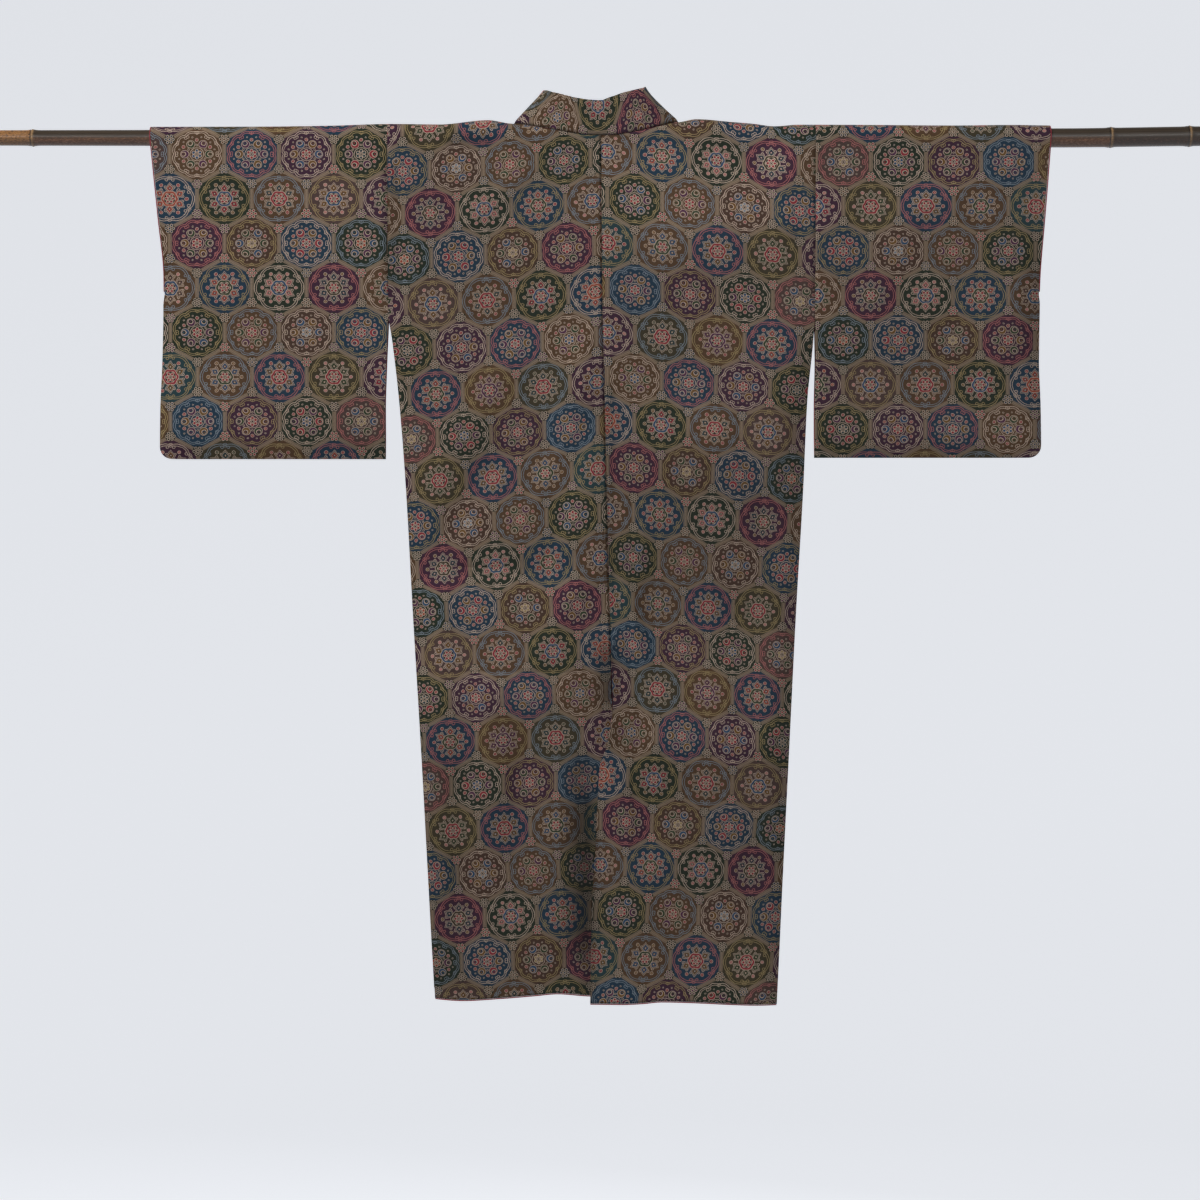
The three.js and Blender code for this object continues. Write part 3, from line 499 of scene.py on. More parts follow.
weave_columns = {
    "right": table(
        "down start pitch",
        (30, 7.4, 80.4), (225, 8, 81), (560, 8, 76.5), (755, 8.1, 73.4), (880, 6.6, 73.8), (948, -1, 77),
        (1078, -3, 74.2), (1145, -9.6, 75.7), (1210, -11.8, 74.8), (1280, -20, 75),
    ),
    "left": table(
        "down start pitch",
        (40, -17, 79), (165, -11.5, 80), (630, -2, 77.2), (695, 2.4, 77), (825, 6, 76.5), (890, 9.6, 77.5),
        (1020, 8.5, 76), (1085, 11.8, 75), (1150, 20, 77), (1210, 20, 75.5), (1280, 22, 75),
    ),
}
# the row of the weave at each height, counted along the bolt, one column out from the middle
weave_rows = {
    "right": table(
        "down row",
        (29.5, 0), (163.4, 2), (294.6, 4), (425, 6), (556.9, 8), (688.3, 10), (814, 12), (947, 14),
        (1076, 16), (1210.8, 18), (1342, 20),
    ),
    "left": table(
        "down row",
        (38.4, 1), (101.4, 0), (235, -2), (368.6, -4), (496.2, -6), (627, -8), (758, -10), (885.3, -12),
        (1014.4, -14), (1144.5, -16), (1275, -18), (1340, -19),
    ),
}
# the rows droop from the middle seam towards the sides, most where the shoulders pull
weave_droop = table("out droop", (-20, -11), (0, -8), (90, 0), (170, 6), (255, 11.5), (320, 15))
droop_share = {
    "right": table("down share", (0, 1), (950, 0.95), (1040, 0.55), (1150, 0.5), (1285, 0.3)),
    "left": table(
        "down share", (0, 1), (600, 0.95), (700, 0.6), (900, 0.55), (1020, 0.8), (1150, 0.8), (1285, 0.3)
    ),
}


def woven_at(column, row):
    """UV in metres of cloth of a place given in columns and rows of the weave."""
    return np.stack(np.broadcast_arrays(column * COLUMN_PITCH, row * ROW_PITCH), axis=-1) * MM


def woven_body(side, x, down):
    """UV of a body panel: its column and row, in metres of cloth. Above the rod's axis down is negative."""
    rows, columns = weave_rows[side], weave_columns[side]
    start = curve(columns, "start", down)
    column = SIGN[side] * (x - start) / curve(columns, "pitch", down)
    along = down - curve(weave_droop, "droop", SIGN[side] * x) * curve(droop_share[side], "share", down)
    before = np.minimum(along - rows["down"][0], 0) * np.sign(rows["row"][1] - rows["row"][0]) / ROW_PITCH
    row = curve(rows, "row", along) + before
    return woven_at(column, row)


print("one repeat of the weave:", 5 * COLUMN_PITCH, "by", ROWS_IN_REPEAT * ROW_PITCH, "mm")

# %% [markdown]
# ## From a grid of points to cloth
#
# A panel is a grid of points with a quad between each four neighbours. Where a panel is L-shaped, such as
# the body length that has no cloth inside the neck, a mask leaves quads out and unused points are dropped.
# The Solidify modifier then gives the wall: the grid is the middle of the cloth, silk outside, lining in.

# %% Mesh makers
pieces = {}


def new_object(name, spots, faces):
    """A smooth mesh object from an array of points in millimetres and a list of faces."""
    mesh = bpy.data.meshes.new(name)
    mesh.from_pydata(spots.reshape(-1, 3) * MM, [], faces)
    mesh.shade_smooth()
    made = bpy.data.objects.new(name, mesh)
    bpy.context.scene.collection.objects.link(made)
    return made


def add_numbers(piece, name, numbers):
    """Gives each point of a mesh a number, for a material to read by its name."""
    attribute = piece.data.attributes.new(name, "FLOAT", "POINT")
    attribute.data.foreach_set("value", numbers.ravel().astype(np.float32))


def cloth_piece(name, grid, woven, wall, covered=None, flip=False, seam_painted_shade=0):
    """Cloth on both sides of a grid of points, with a UV for each; a painted shade darkens it along a seam.
    """
    rows, columns = grid.shape[:2]
    index = np.arange(rows * columns).reshape(rows, columns)
    quads = np.stack([index[:-1, :-1], index[:-1, 1:], index[1:, 1:], index[1:, :-1]], axis=-1)
    if covered is not None:
        quads = quads[covered]
    quads = quads.reshape(-1, 4)
    if flip:
        quads = quads[:, ::-1]
    used, quads = np.unique(quads, return_inverse=True)
    quads = quads.reshape(-1, 4)
    piece = pieces[name] = new_object(name, grid.reshape(-1, 3)[used], quads.tolist())
    uv = piece.data.uv_layers.new(name="woven")
    uv.data.foreach_set("uv", woven.reshape(-1, 2)[used][quads.ravel()].ravel().astype(np.float32))
    # fading and painted light and shade of the back, and painted shade along a seam
    add_numbers(piece, "fade_and_painted_shade", (fade_and_painted_shade(grid) - seam_painted_shade).ravel()[used])
    solid = piece.modifiers.new("wall", "SOLIDIFY")
    solid.thickness = wall * MM
    solid.offset = 0
    solid.use_even_offset = True
    solid.material_offset = 1
    print(name, "quads", len(quads))
    return piece


def ring_faces(count, sides):
    """Quads between rings of points, the points' numbers by ring, and those one place further round."""
    index = np.arange(count * sides).reshape(count, sides)
    after = np.roll(index, -1, axis=1)
    quads = np.stack([index[:-1], index[1:], after[1:], after[:-1]], axis=-1)
    return quads.reshape(-1, 4).tolist(), index, after


def tube_mesh(name, line, radius, sides=10):
    """A round roll along a line of points, closed at both ends.

    Each ring is the line's point plus radius times the cosine of an angle sideways and its sine upwards.
    Sideways is the tangent crossed with one fixed direction, since no roll here bends through it.
    """
    tangent = np.gradient(line, axis=0)
    tangent /= np.linalg.norm(tangent, axis=1, keepdims=True)
    steep = np.abs(tangent[:, 2]).mean() > 0.5 or np.ptp(line[:, 2]) > 50  # it climbs, as a cuff does
    aside = np.cross(tangent, [1.0, 0, 0] if steep else [0, 0, 1.0])
    aside /= np.linalg.norm(aside, axis=1, keepdims=True)
    up = np.cross(aside, tangent)
    angle = 2 * np.pi * np.arange(sides)[None, :, None] / sides
    skin = line[:, None] + radius * (np.cos(angle) * aside[:, None] + np.sin(angle) * up[:, None])
    quads, index, _ = ring_faces(len(line), sides)
    pieces[name] = new_object(name, skin, quads + [index[0].tolist(), index[-1][::-1].tolist()])


print("cloth is", WALL, "mm thick, silk and lining")

# %% [markdown]
# ## The two body lengths
#
# Each starts at the back hem, climbs the back, turns over the rod and comes down the front. Across, the
# columns run from the side seam to the neck corner and, on the back, on to the middle seam; the left half
# has a few more round the pleat. The rows are 5 mm apart, so that a soft crease is a real shape.

# %% Body panels
ROW_STEP = 5
TURN_STEP = 6
FRONT_STEP = 8
NECK_FIT_DOWN = 28
STORAGE_FOLDS_AT = (633.5, 788.5, 913)

# finer rows across the storage folds
fold_rows = [at + np.arange(-4.5, 5, 1.5) for at in STORAGE_FOLDS_AT]
back_rows = np.unique(np.concatenate([np.arange(0, HEM_ROW + 1, ROW_STEP), *fold_rows]))[::-1]
turn_rows = np.unique(np.append(np.arange(TURN_STEP, 181, TURN_STEP), NECK_TURN))
front_rows = np.unique(np.append(np.arange(6, FRONT_HEM, FRONT_STEP), [OVERLAP_TOP, COLLAR_END, FRONT_HEM]))
# columns from the side to the neck corner, closer together where the side rounds in
outer_shares = np.concatenate([
    [0, 0.004, 0.008, 0.014],
    0.02 + 0.14 * (1 - np.cos(np.linspace(0, np.pi / 2, 10))),
    np.linspace(0.19, 1, 32),
])
# columns from there to the middle seam, the last ones a few millimetres from it, then round the pleat
beside_seam = 1 - np.array([4.2, 2.8, 1.9, 1.2, 0.6, 0]) / NECK_CORNER["right"]
inner_shares = np.concatenate([np.linspace(0, 0.93, 16)[1:], beside_seam])
turn_shares = np.linspace(0, 1, 7)[1:]
straight_shares = np.linspace(0, 1, 5)[1:]
# the grid's column and row where the neck's corner is cut
NECK_COLUMN = len(outer_shares) - 1
NECK_ROW = len(back_rows) + int(np.searchsorted(turn_rows, NECK_TURN))


def fitted_down(side, out, down):
    """Rows near the hem are moved to the hem's own curve."""
    share = np.clip((down - HEM_FITTED_FROM) / (HEM_ROW - HEM_FITTED_FROM), 0, 1)
    return down + (curve(hem_curve[side], "down", out) - HEM_ROW) * share


def fitted_rise(side, x, rise):
    """Rows near the neck are spread so that the last one lies on the neck's curve."""
    across = np.clip(SIGN[side] * x / NECK_CORNER[side], 0, 1)
    top = curve(neck_back, "turn", across) / 180 * fold_length(x)
    corner = NECK_TURN / 180 * fold_length(x)
    share = (rise + NECK_FIT_DOWN) / (corner + NECK_FIT_DOWN)
    return np.where(share <= 0, rise, mix(-NECK_FIT_DOWN, top, share))


def inner_places(side, down):
    """Places of the columns inside the neck corner, and how far each is beyond the pleat's fold."""
    pleat = pleat_at(down)
    if side == "right":
        x = mix(NECK_CORNER[side], right_seam(down)[0], inner_shares)
        return x, np.zeros_like(x)
    flat = mix(-NECK_CORNER[side], pleat["fold_x"] - GAP / 2, inner_shares)
    turn_length = PLEAT_TURN * pleat["angle"]
    least = pleat["take_up"] - SEWN_GAP
    over = np.maximum(turn_length * turn_shares, least * turn_shares / 3)
    back = np.maximum(turn_length, least / 3) + least * 2 / 3 * straight_shares
    beyond = np.concatenate([over, back], axis=1)
    x = np.concatenate([flat, pleat["fold_x"] + beyond], axis=1)
    return x, np.concatenate([np.zeros_like(flat), beyond], axis=1)


def woven_points(side, place, x, down):
    """Each point and its UV side by side, five numbers in all, so that one cut or join serves both."""
    return np.concatenate([place, woven_body(side, x, down)], axis=-1)


def back_strip(side, out, outer_down, x, rise, beyond):
    """Rows of the back: the columns outside the neck corner, then those inside it."""
    x_outer = SIGN[side] * out
    outer = back_point(side, x_outer, -outer_down, 0 * out)
    inner = back_point(side, x, rise, beyond)
    outer, inner = woven_points(side, outer, x_outer, outer_down), woven_points(side, inner, x, -rise)
    return np.concatenate([outer, inner], axis=1)


def body_grid(side):
    """Points and UVs of one body length, row by row from the back hem to the front hem."""

    def outs(down, inside):
        return mix(curve(body_sides, side, down) - SEWN_GAP / 2, inside, outer_shares)

    # the back, up to the rod's axis
    down = back_rows[:, None]
    out = outs(down, NECK_CORNER[side])
    x, beyond = inner_places(side, down)
    near_neck = down < NECK_FIT_DOWN
    rise = np.where(near_neck, fitted_rise(side, x, -down), -fitted_down(side, SIGN[side] * x, down))
    back = back_strip(side, out, fitted_down(side, out, down), x, rise, beyond)
    # over the rod
    turn = turn_rows[:, None]
    out = outs(0, np.where(turn <= NECK_TURN, NECK_CORNER[side], curve(neck_shoulder, side, turn)))
    x, _ = inner_places(side, 0 * turn)
    rise = fitted_rise(side, x, np.minimum(turn, NECK_TURN) / 180 * fold_length(x))
    top = back_strip(side, out, -turn / 180 * fold_length(SIGN[side] * out), x, rise, 0 * x)
    # the front
    down = front_rows[:, None]
    seam = curve(overlap_edges, f"seam_{side}", down)
    at_collar = curve(collar_line, side, down) + GAP / 2
    out = outs(down, np.where(down <= OVERLAP_TOP, at_collar, seam + SEWN_GAP / 2))
    x = SIGN[side] * out
    front = woven_points(side, front_point(side, out, down), x, -down - fold_length(x))
    front = np.pad(front, ((0, 0), (0, back.shape[1] - front.shape[1]), (0, 0)), mode="edge")
    grid = np.concatenate([back, top, front])
    return grid[..., :3], grid[..., 3:]


body_grids = {}
for side in SIGN:
    body_grids[side], woven = body_grid(side)
    row, column = np.indices(woven[1:, 1:].shape[:2])
    covered = (column < NECK_COLUMN) | (row < NECK_ROW)
    cloth_piece(f"silk_body_{side}", body_grids[side], woven, WALL, covered, flip=side == "right")

# %% [markdown]
# ## Sleeves
#
# A sleeve is one length folded over the rod and sewn into a bag: shut along the bottom and up the outer
# edge to the hand opening, open along its inner edge below the armhole. The two walls are one grid that
# goes up the back, over the rod and down the front, and they meet where the bag is sewn.

# %% Sleeves
CUFF_INSET = GAP + 2 * ROLL_RADIUS

bottom_rise = SLEEVE_ROUND * (1 - np.cos(np.linspace(0, np.pi / 2, 12)))
sleeve_above = np.concatenate([bottom_rise, np.arange(SLEEVE_ROUND + 5, 180, ROW_STEP)])
sleeve_shares = np.concatenate([
    [0, 0.0025, 0.005, 0.009, 0.015],
    np.linspace(0.024, 0.86, 42),
    1 - 0.13 * (1 - np.sin(np.linspace(0, np.pi / 2, 12))),
])
sleeve_turns = np.arange(0, 181, TURN_STEP)

sleeve_folds = {
    "left": table(
        FOLD_COLUMNS,
        (-596, 30, -410, 136, 15, 2), (-640, 60, -470, 210, 19, -1.8), (-420, 40, -350, 220, 17, 1.8),
        (-560, 200, -400, 330, 26, 2), (-610, 300, -480, 430, 24, -2), (-440, 300, -350, 440, 22, 1.8),
        (-520, 380, -430, 460, 15, -1.6), (-340, 240, -336, 440, 12, -1.2),
        (-640, 210, -330, 216, 70, 1.8),
    ),
    "right": table(
        FOLD_COLUMNS,
        (610, 40, 430, 130, 19, 1.8), (400, 60, 350, 260, 19, -2), (560, 120, 500, 330, 28, -2),
        (470, 90, 400, 250, 22, 1.8), (630, 180, 560, 400, 22, 1.8), (380, 280, 470, 440, 22, 1.8),
        (520, 330, 600, 450, 24, -1.8), (336, 250, 332, 440, 12, 1.1), (330, 118, 640, 112, 58, 2.6),
        (330, 372, 640, 366, 66, -2),
    ),
}
weave_sleeve = {
    "left": dict(start=-636, pitch=80.5, grows=1, row=8, at=222.7, turned=1),
    "right": dict(start=638, pitch=80.9, grows=-1, row=0, at=234.1, turned=-1),
}


def corner_inset(above):
    """How far the rounded outer corner takes the edge in, at a height above the sleeve's bottom."""
    below = np.maximum(0, SLEEVE_CORNER - above)
    return SLEEVE_CORNER - np.sqrt(SLEEVE_CORNER**2 - below**2)


def sleeve_outer(side, down):
    roll_room = CUFF_INSET * (1 - smooth((down - CUFF) / CUFF_BLEND))
    edge = curve(sleeve_edges, f"outer_{side}", down)
    return edge - roll_room - corner_inset(SLEEVE_DOWN[side] - down)


def sleeve_depth(side, out, down):
    """Depth of a sleeve's wall: shut at the bottom and at the outer edge below the hand opening."""
    shut = smooth((down - CUFF_CLOSES_FROM) / (CUFF + CUFF_BLEND - CUFF_CLOSES_FROM))
    from_outer = swell((sleeve_outer(side, down) - out) / SLEEVE_ROUND)
    from_bottom = swell((SLEEVE_DOWN[side] - down) / SLEEVE_ROUND)
    fullness = mix(1, from_outer, shut) * from_bottom
    lift = crease_lift(sleeve_folds[side], SIGN[side] * out, down)
    edge = smooth(np.minimum(sleeve_outer(side, down) - out, SLEEVE_DOWN[side] - down) / SLEEVE_ROUND)
    inner = curve(sleeve_edges, f"inner_{side}", down)
    dip = armhole_dip(out - inner, down) * smooth(down / DIPS_START_OVER)
    hanging = mix(SEAM_DEPTH, free_depth("sleeve", SIGN[side] * out, down), fullness)
    return hanging + lift * edge * smooth(down / FREE_OF_ROD) - dip


def sleeve_grid(side):
    """Points and UVs of one sleeve, from the bottom of its back over the rod to the bottom of its front."""
    sign = SIGN[side]
    armhole_up = np.arange(ARMHOLE + ARMHOLE_DIP_FADE, 0, -ROW_STEP)
    down = np.concatenate([SLEEVE_DOWN[side] - sleeve_above, armhole_up])
    down = np.unique(down)[::-1][:, None]

    def outs(at):
        inner = curve(sleeve_edges, f"inner_{side}", at) + SEWN_GAP / 2
        return mix(inner, sleeve_outer(side, at), sleeve_shares)

    out = outs(down)
    depth = sleeve_depth(side, out, down)
    back = points(sign * out, -depth, -down)
    front = points(sign * out, depth, -down)[::-1]
    top_out = outs(np.zeros((1, 1)))
    turn = sleeve_turns[:, None]
    over = fold_point(sign * top_out, turn)
    length = fold_length(sign * top_out)
    along = np.concatenate([down + 0 * out, -turn / 180 * length, (-down - length)[::-1]])
    grid = np.concatenate([back, over, front])
    weave = weave_sleeve[side]
    column = weave["grows"] * (grid[..., 0] - weave["start"]) / weave["pitch"]
    row = weave["row"] + weave["turned"] * (along - weave["at"]) / ROW_PITCH
    return grid, woven_at(column, row)


sleeve_grids = {}
for side in SIGN:
    sleeve_grids[side], woven = sleeve_grid(side)
    cloth_piece(f"silk_sleeve_{side}", sleeve_grids[side], woven, WALL, flip=side == "left")

# %% [markdown]
# ## Overlap panels
#
# The two slim panels that widen the fronts so that they can be wrapped, left over right. Each is cut off on
# a slant where the collar is sewn across it.

# %% Overlap panels
overlap_rows = np.unique(np.append(np.arange(228, FRONT_HEM, FRONT_STEP), [COLLAR_END, FRONT_HEM]))[::-1]
overlap_shares = np.linspace(0, 1, 24)


def overlap_grid(side):
    """Points and UVs of an overlap panel, from the hem up."""
    down = overlap_rows[:, None]
    seam = curve(overlap_edges, f"seam_{side}", down) - SEWN_GAP / 2
    free = curve(overlap_edges, f"free_{side}", down)
    collar = curve(collar_line, side, down)
    free = np.where(down > COLLAR_END, free, np.maximum(free, collar)) + GAP / 2
    out = mix(seam, free, overlap_shares)
    grid = front_point(side, out, down)
    column = 2 + (seam - out) / COLUMN_PITCH
    row = 3 - (down + 0 * out) / ROW_PITCH
    return grid, woven_at(column, row)


overlap_grids = {}
for side in SIGN:
    overlap_grids[side], woven = overlap_grid(side)
    cloth_piece(f"silk_okumi_{side}", overlap_grids[side], woven, WALL, flip=side == "left")

# %% [markdown]
# ## Collar
#
# A band folded lengthwise and sewn to the neck edge, with a shorter cover over its upper part. It starts
# low on one front, climbs over the shoulder, stands up behind the neck and comes down the other front. Each
# station along it is a point of the panels' own neck edge, with a direction that the band leans in and a
# width; the band is a strip from one to the other.

# %% Collar
NECK_ROOM = 1.25
NECK_SEAM_DIP = 1.2
NECK_SEAM_WIDTH = 2.6
# painted shade: how much darker the collar is along its seam with the body, where its edge casts a thin
# shadow
NECK_SEAM_PAINTED_SHADE = 0.7
band_shares = np.concatenate([[0, 0.02, 0.04, 0.065], np.linspace(0.1, 1, 13)])
COLLAR_ROW_AT, COLLAR_ROW = -7, 6  # this row of the weave crosses the band at this x
collar_weave = table("x start", (-75, 59.2), (-7, 42.5), (58, 62))


def neck_edge(side):
    """Seam points, directions, widths and turns from the front end to the middle of the back."""
    grid = body_grids[side]
    top = len(back_rows) + len(turn_rows)
    body = grid[top:, NECK_COLUMN][front_rows <= OVERLAP_TOP][::-1]
    front = np.concatenate([overlap_grids[side][:, -1][overlap_rows <= COLLAR_END], body])
    turn = turn_rows[turn_rows >= NECK_TURN][::-1]
    shoulder = grid[len(back_rows) : top, NECK_COLUMN][turn_rows >= NECK_TURN][::-1]
    back = grid[NECK_ROW, NECK_COLUMN + 1 : NECK_COLUMN + 1 + len(inner_shares)]
    across = np.abs(back[:, 0]) / NECK_CORNER[side]
    own = f"_{side}"
    stretches = ((collar_front, "", -front[:, 2]), (neck_shoulder, own, turn), (neck_back, own, across))
    lean, width = (
        np.concatenate([curve(rows, name + ending, at) for rows, ending, at in stretches])
        for name in ("lean", "width")
    )
    turns = np.concatenate([np.full(len(front), 180), turn, curve(neck_back, "turn", across)])
    return np.concatenate([front, shoulder, back]), lean * SIGN[side], width, turns


def collar_run():
    """The band's seam line, the direction across it and its width, from the left front to the right one."""
    left, right = neck_edge("left"), neck_edge("right")
    seam, lean, width, turn = (np.concatenate([a, b[::-1]]) for a, b in zip(left, right))
    angle = np.radians(lean)
    towards = points(-np.sin(angle), 0, np.cos(angle))
    clear = GAP + NECK_ROOM * COLLAR_WALL / 2 * np.sin(np.radians(turn))
    return seam + towards * clear[:, None], towards, width


def shifted(grid, distance):
    """The grid moved out along its own normals, by one distance or one for each column across the band."""
    normal = np.cross(np.gradient(grid, axis=0), np.gradient(grid, axis=1))
    distance = np.broadcast_to(distance, grid.shape[:2])[..., None]
    return grid + distance * normal / np.linalg.norm(normal, axis=-1, keepdims=True)


seam, towards, width = collar_run()
across_band = width[:, None] * band_shares
at_seam = np.exp(-((across_band / NECK_SEAM_WIDTH) ** 2))
band = seam[:, None] + towards[:, None] * across_band[..., None]
band = shifted(band, -NECK_SEAM_DIP * at_seam)
run = np.concatenate([[0], np.cumsum(np.linalg.norm(np.diff(seam, axis=0), axis=1))])
near_back = np.abs(seam[:, 1] + depth_at_rod(0)) < 12  # the stretch behind the neck
run_at_row = np.interp(COLLAR_ROW_AT, seam[near_back][:, 0], run[near_back])
collar_row = COLLAR_ROW + (run - run_at_row) / ROW_PITCH
collar_column = 1 + (across_band - curve(collar_weave, "start", seam[:, :1])) / COLUMN_PITCH
collar_woven = woven_at(collar_column, collar_row[:, None])
# painted shade: a dark line along the foot of the collar, standing in for the thin shadow under its edge
seam_painted_shade = NECK_SEAM_PAINTED_SHADE * at_seam
collar = cloth_piece("silk_collar", band, collar_woven, COLLAR_WALL, flip=True, seam_painted_shade=seam_painted_shade)
inside_cover = -seam[:, 2] <= COVER_END
cover_grid = shifted(band[inside_cover], COLLAR_WALL / 2 + GAP + COVER_WALL / 2)
cover_woven, cover_painted_shade = collar_woven[inside_cover], seam_painted_shade[inside_cover]
cover = cloth_piece("silk_collar_cover", cover_grid, cover_woven, COVER_WALL, flip=True, seam_painted_shade=cover_painted_shade)
print("collar: sewn length", round(run[-1]), "mm, stations", len(seam))

# %% [markdown]
# ## Padded rolls at the hems and cuffs
#
# The red lining is a little longer than the silk, and is rolled out under each hem and round each hand
# opening over a thin cord of wadding. It keeps the silk off the ground and shows as a fine red line.


# %% Rolls
def hem_line(edge):
    """The roll's middle under a row of hem points, shortened a little at both ends."""
    line = edge - [0, 0, GAP + ROLL_RADIUS]
    for end, near, by in ((0, 1, SIDE_ROLL_INSET), (-1, -2, GAP)):
        step = line[near] - line[end]
        line[end] += step / np.linalg.norm(step) * min(by, np.linalg.norm(step) * 0.8)
    return line


for side in SIGN:
    back_edge = body_grids[side][0]
    front_edge = body_grids[side][-1][: NECK_COLUMN + 1]
    tube_mesh(f"red_roll_back_{side}", hem_line(back_edge), ROLL_RADIUS)
    tube_mesh(f"red_roll_front_{side}", hem_line(front_edge), ROLL_RADIUS)
    tube_mesh(f"red_roll_okumi_{side}", hem_line(overlap_grids[side][0]), ROLL_RADIUS)
    cuff = sleeve_grids[side][:, -1]
    cuff = cuff[cuff[:, 2] >= -CUFF] + [SIGN[side] * (GAP + ROLL_RADIUS), 0, 0]
    tube_mesh(f"red_roll_cuff_{side}", cuff, ROLL_RADIUS)
print("rolls:", sum(name.startswith("red_roll") for name in pieces))

# %% [markdown]
# ## The bamboo rod
#
# A culm tapers slowly and swells at each node, where a raised ridge sits just beside the scar of the leaf
# sheath, a fine groove. It is a lathe: a radius for each place along the rod, carried round the axis.

# %% Bamboo rod
ROD_SIDES = 64
ROD_CROOK, CROOK_FROM, CROOK_TO = 2.8, 665, 927  # the last length bends up a little
# the soft swelling, the sharp ridge and the groove at each node
node_shape = table("height middle width", (1.15, 0, 5.4), (0.45, 0.5, 0.9), (-0.5, -1.9, 0.6))


def rod_profile():
    """Places along the rod, each one's distance from its node, and its radius.

    The radius is the taper plus three bell curves, height * exp(-((offset - middle) / width)²).
    """
    near = np.array([-8, -6, -4.5, -3.2, -2.2, -1.6, -1.1, -0.6, 0, 0.5, 1, 1.6, 2.4, 3.4, 4.8, 6.4, 8])
    at = np.append(ROD_NODES_AT[:, None] + near, np.linspace(ROD_FROM, ROD_TO, 125))
    at = np.unique(at)
    offset = at - ROD_NODES_AT[np.abs(at[:, None] - ROD_NODES_AT).argmin(axis=1)]
    radius = rod_radius(at)
    for height, middle, width in zip(*node_shape.values()):
        radius = radius + height * np.exp(-(((offset - middle) / width) ** 2))
    return at, offset, radius


rod_at, offset, rod_r = rod_profile()
angle = 2 * np.pi * np.arange(ROD_SIDES) / ROD_SIDES
rod_crook = ROD_CROOK * smooth((rod_at - CROOK_FROM) / (CROOK_TO - CROOK_FROM))
rod_z = rod_r[:, None] * np.sin(angle) + rod_crook[:, None]
rod_skin = points(rod_at[:, None], rod_r[:, None] * np.cos(angle), rod_z)
ends = points(np.array([ROD_FROM, ROD_TO]), 0, rod_crook[[0, -1]])
quads, index, after = ring_faces(len(rod_at), ROD_SIDES)
first = index.size  # the number of the middle point of the first end; the last end's is the next
caps = [(first, a, b) for a, b in zip(index[0], after[0])]
caps += [(first + 1, b, a) for a, b in zip(index[-1], after[-1])]
rod_points = np.concatenate([rod_skin.reshape(-1, 3), ends])
rod = pieces["bamboo_culm"] = new_object("bamboo_culm", rod_points, quads + np.array(caps).tolist())
MARKS = {"node_ring": (0.9, 1.5), "node_groove": (-1.9, 0.9)}  # middle and half width beside each node
for mark, (middle, half) in MARKS.items():
    strength = np.repeat(np.exp(-(((offset - middle) / half) ** 2)), ROD_SIDES)
    add_numbers(rod, mark, np.append(strength, [0, 0]))
print("rod: rings", len(rod_at))

# %% [markdown]
# ## Materials
#
# A material is a graph of nodes. One clicked together in the editor can't be read or made again, and a helper
# for each kind of node hides what the node is. So one small function adds any node: it names the kind, fills
# the inputs in order or by name, links those that are sockets, and gives back one output for the next line.
# Colours are written as they look on a screen, and one function turns them to the linear light that the
# shader works in.

# %% The node helper and colours
CHOICE = {"Math": "operation", "VectorMath": "operation", "Mix": "data_type"}


def add(kind, inputs=(), out=0, **settings):
    """Adds a node to `tree` and gives its output `out`. A word after the kind is the node's main choice."""
    kind, _, choice = kind.partition(" ")
    node = tree.nodes.new("ShaderNode" + kind)
    if choice:
        settings[CHOICE[kind]] = choice
    for name, value in settings.items():
        setattr(node, name, value)
    for key, value in inputs.items() if isinstance(inputs, dict) else enumerate(inputs):
        if isinstance(value, bpy.types.NodeSocket):
            tree.links.new(value, node.inputs[key])
        else:
            node.inputs[key].default_value = value
    return node.outputs[out] if node.outputs else None


def linear(hex_colour):
    """An sRGB hex colour as linear RGBA: (c/12.92) when dark, ((c+0.055)/1.055)^2.4 above."""
    srgb = np.array([int(hex_colour[i : i + 2], 16) for i in (1, 3, 5)]) / 255
    value = np.where(srgb <= 0.04045, srgb / 12.92, ((srgb + 0.055) / 1.055) ** 2.4)
    return (*value.tolist(), 1.0)


def new_material(name):
    material = bpy.data.materials.new(name)
    material.use_nodes = True
    material.node_tree.nodes.clear()
    return material, material.node_tree


print("middle grey in linear light:", round(linear("#808080")[0], 3))

# %% [markdown]
# ## Figured silk: the lattice
#
# The silk is a figured weave: hexagons stand in a lattice, each holding a round medallion or a six-pointed
# star one, with a small rosette at every corner. It could be drawn on an image, but an image blurs close up
# and has a seam at its edge. Here every point of the cloth finds its own cell by arithmetic. Cells in even
# rows sit at whole columns and those in odd rows at half columns, so two wrapped grids cover them all, and
# the nearer of the two centres is the point's own.

# %% Cells of the lattice
HEX = 0.8660254  # height of a row where a column is 1 wide, in a regular hexagon lattice
HALF_CELL = (0.5, HEX, 0)
WAVER = 0.0009  # metres that a thread strays by
COLUMNS_IN_REPEAT = 5
STAR_ROWS_IN_REPEAT = ROWS_IN_REPEAT // 2

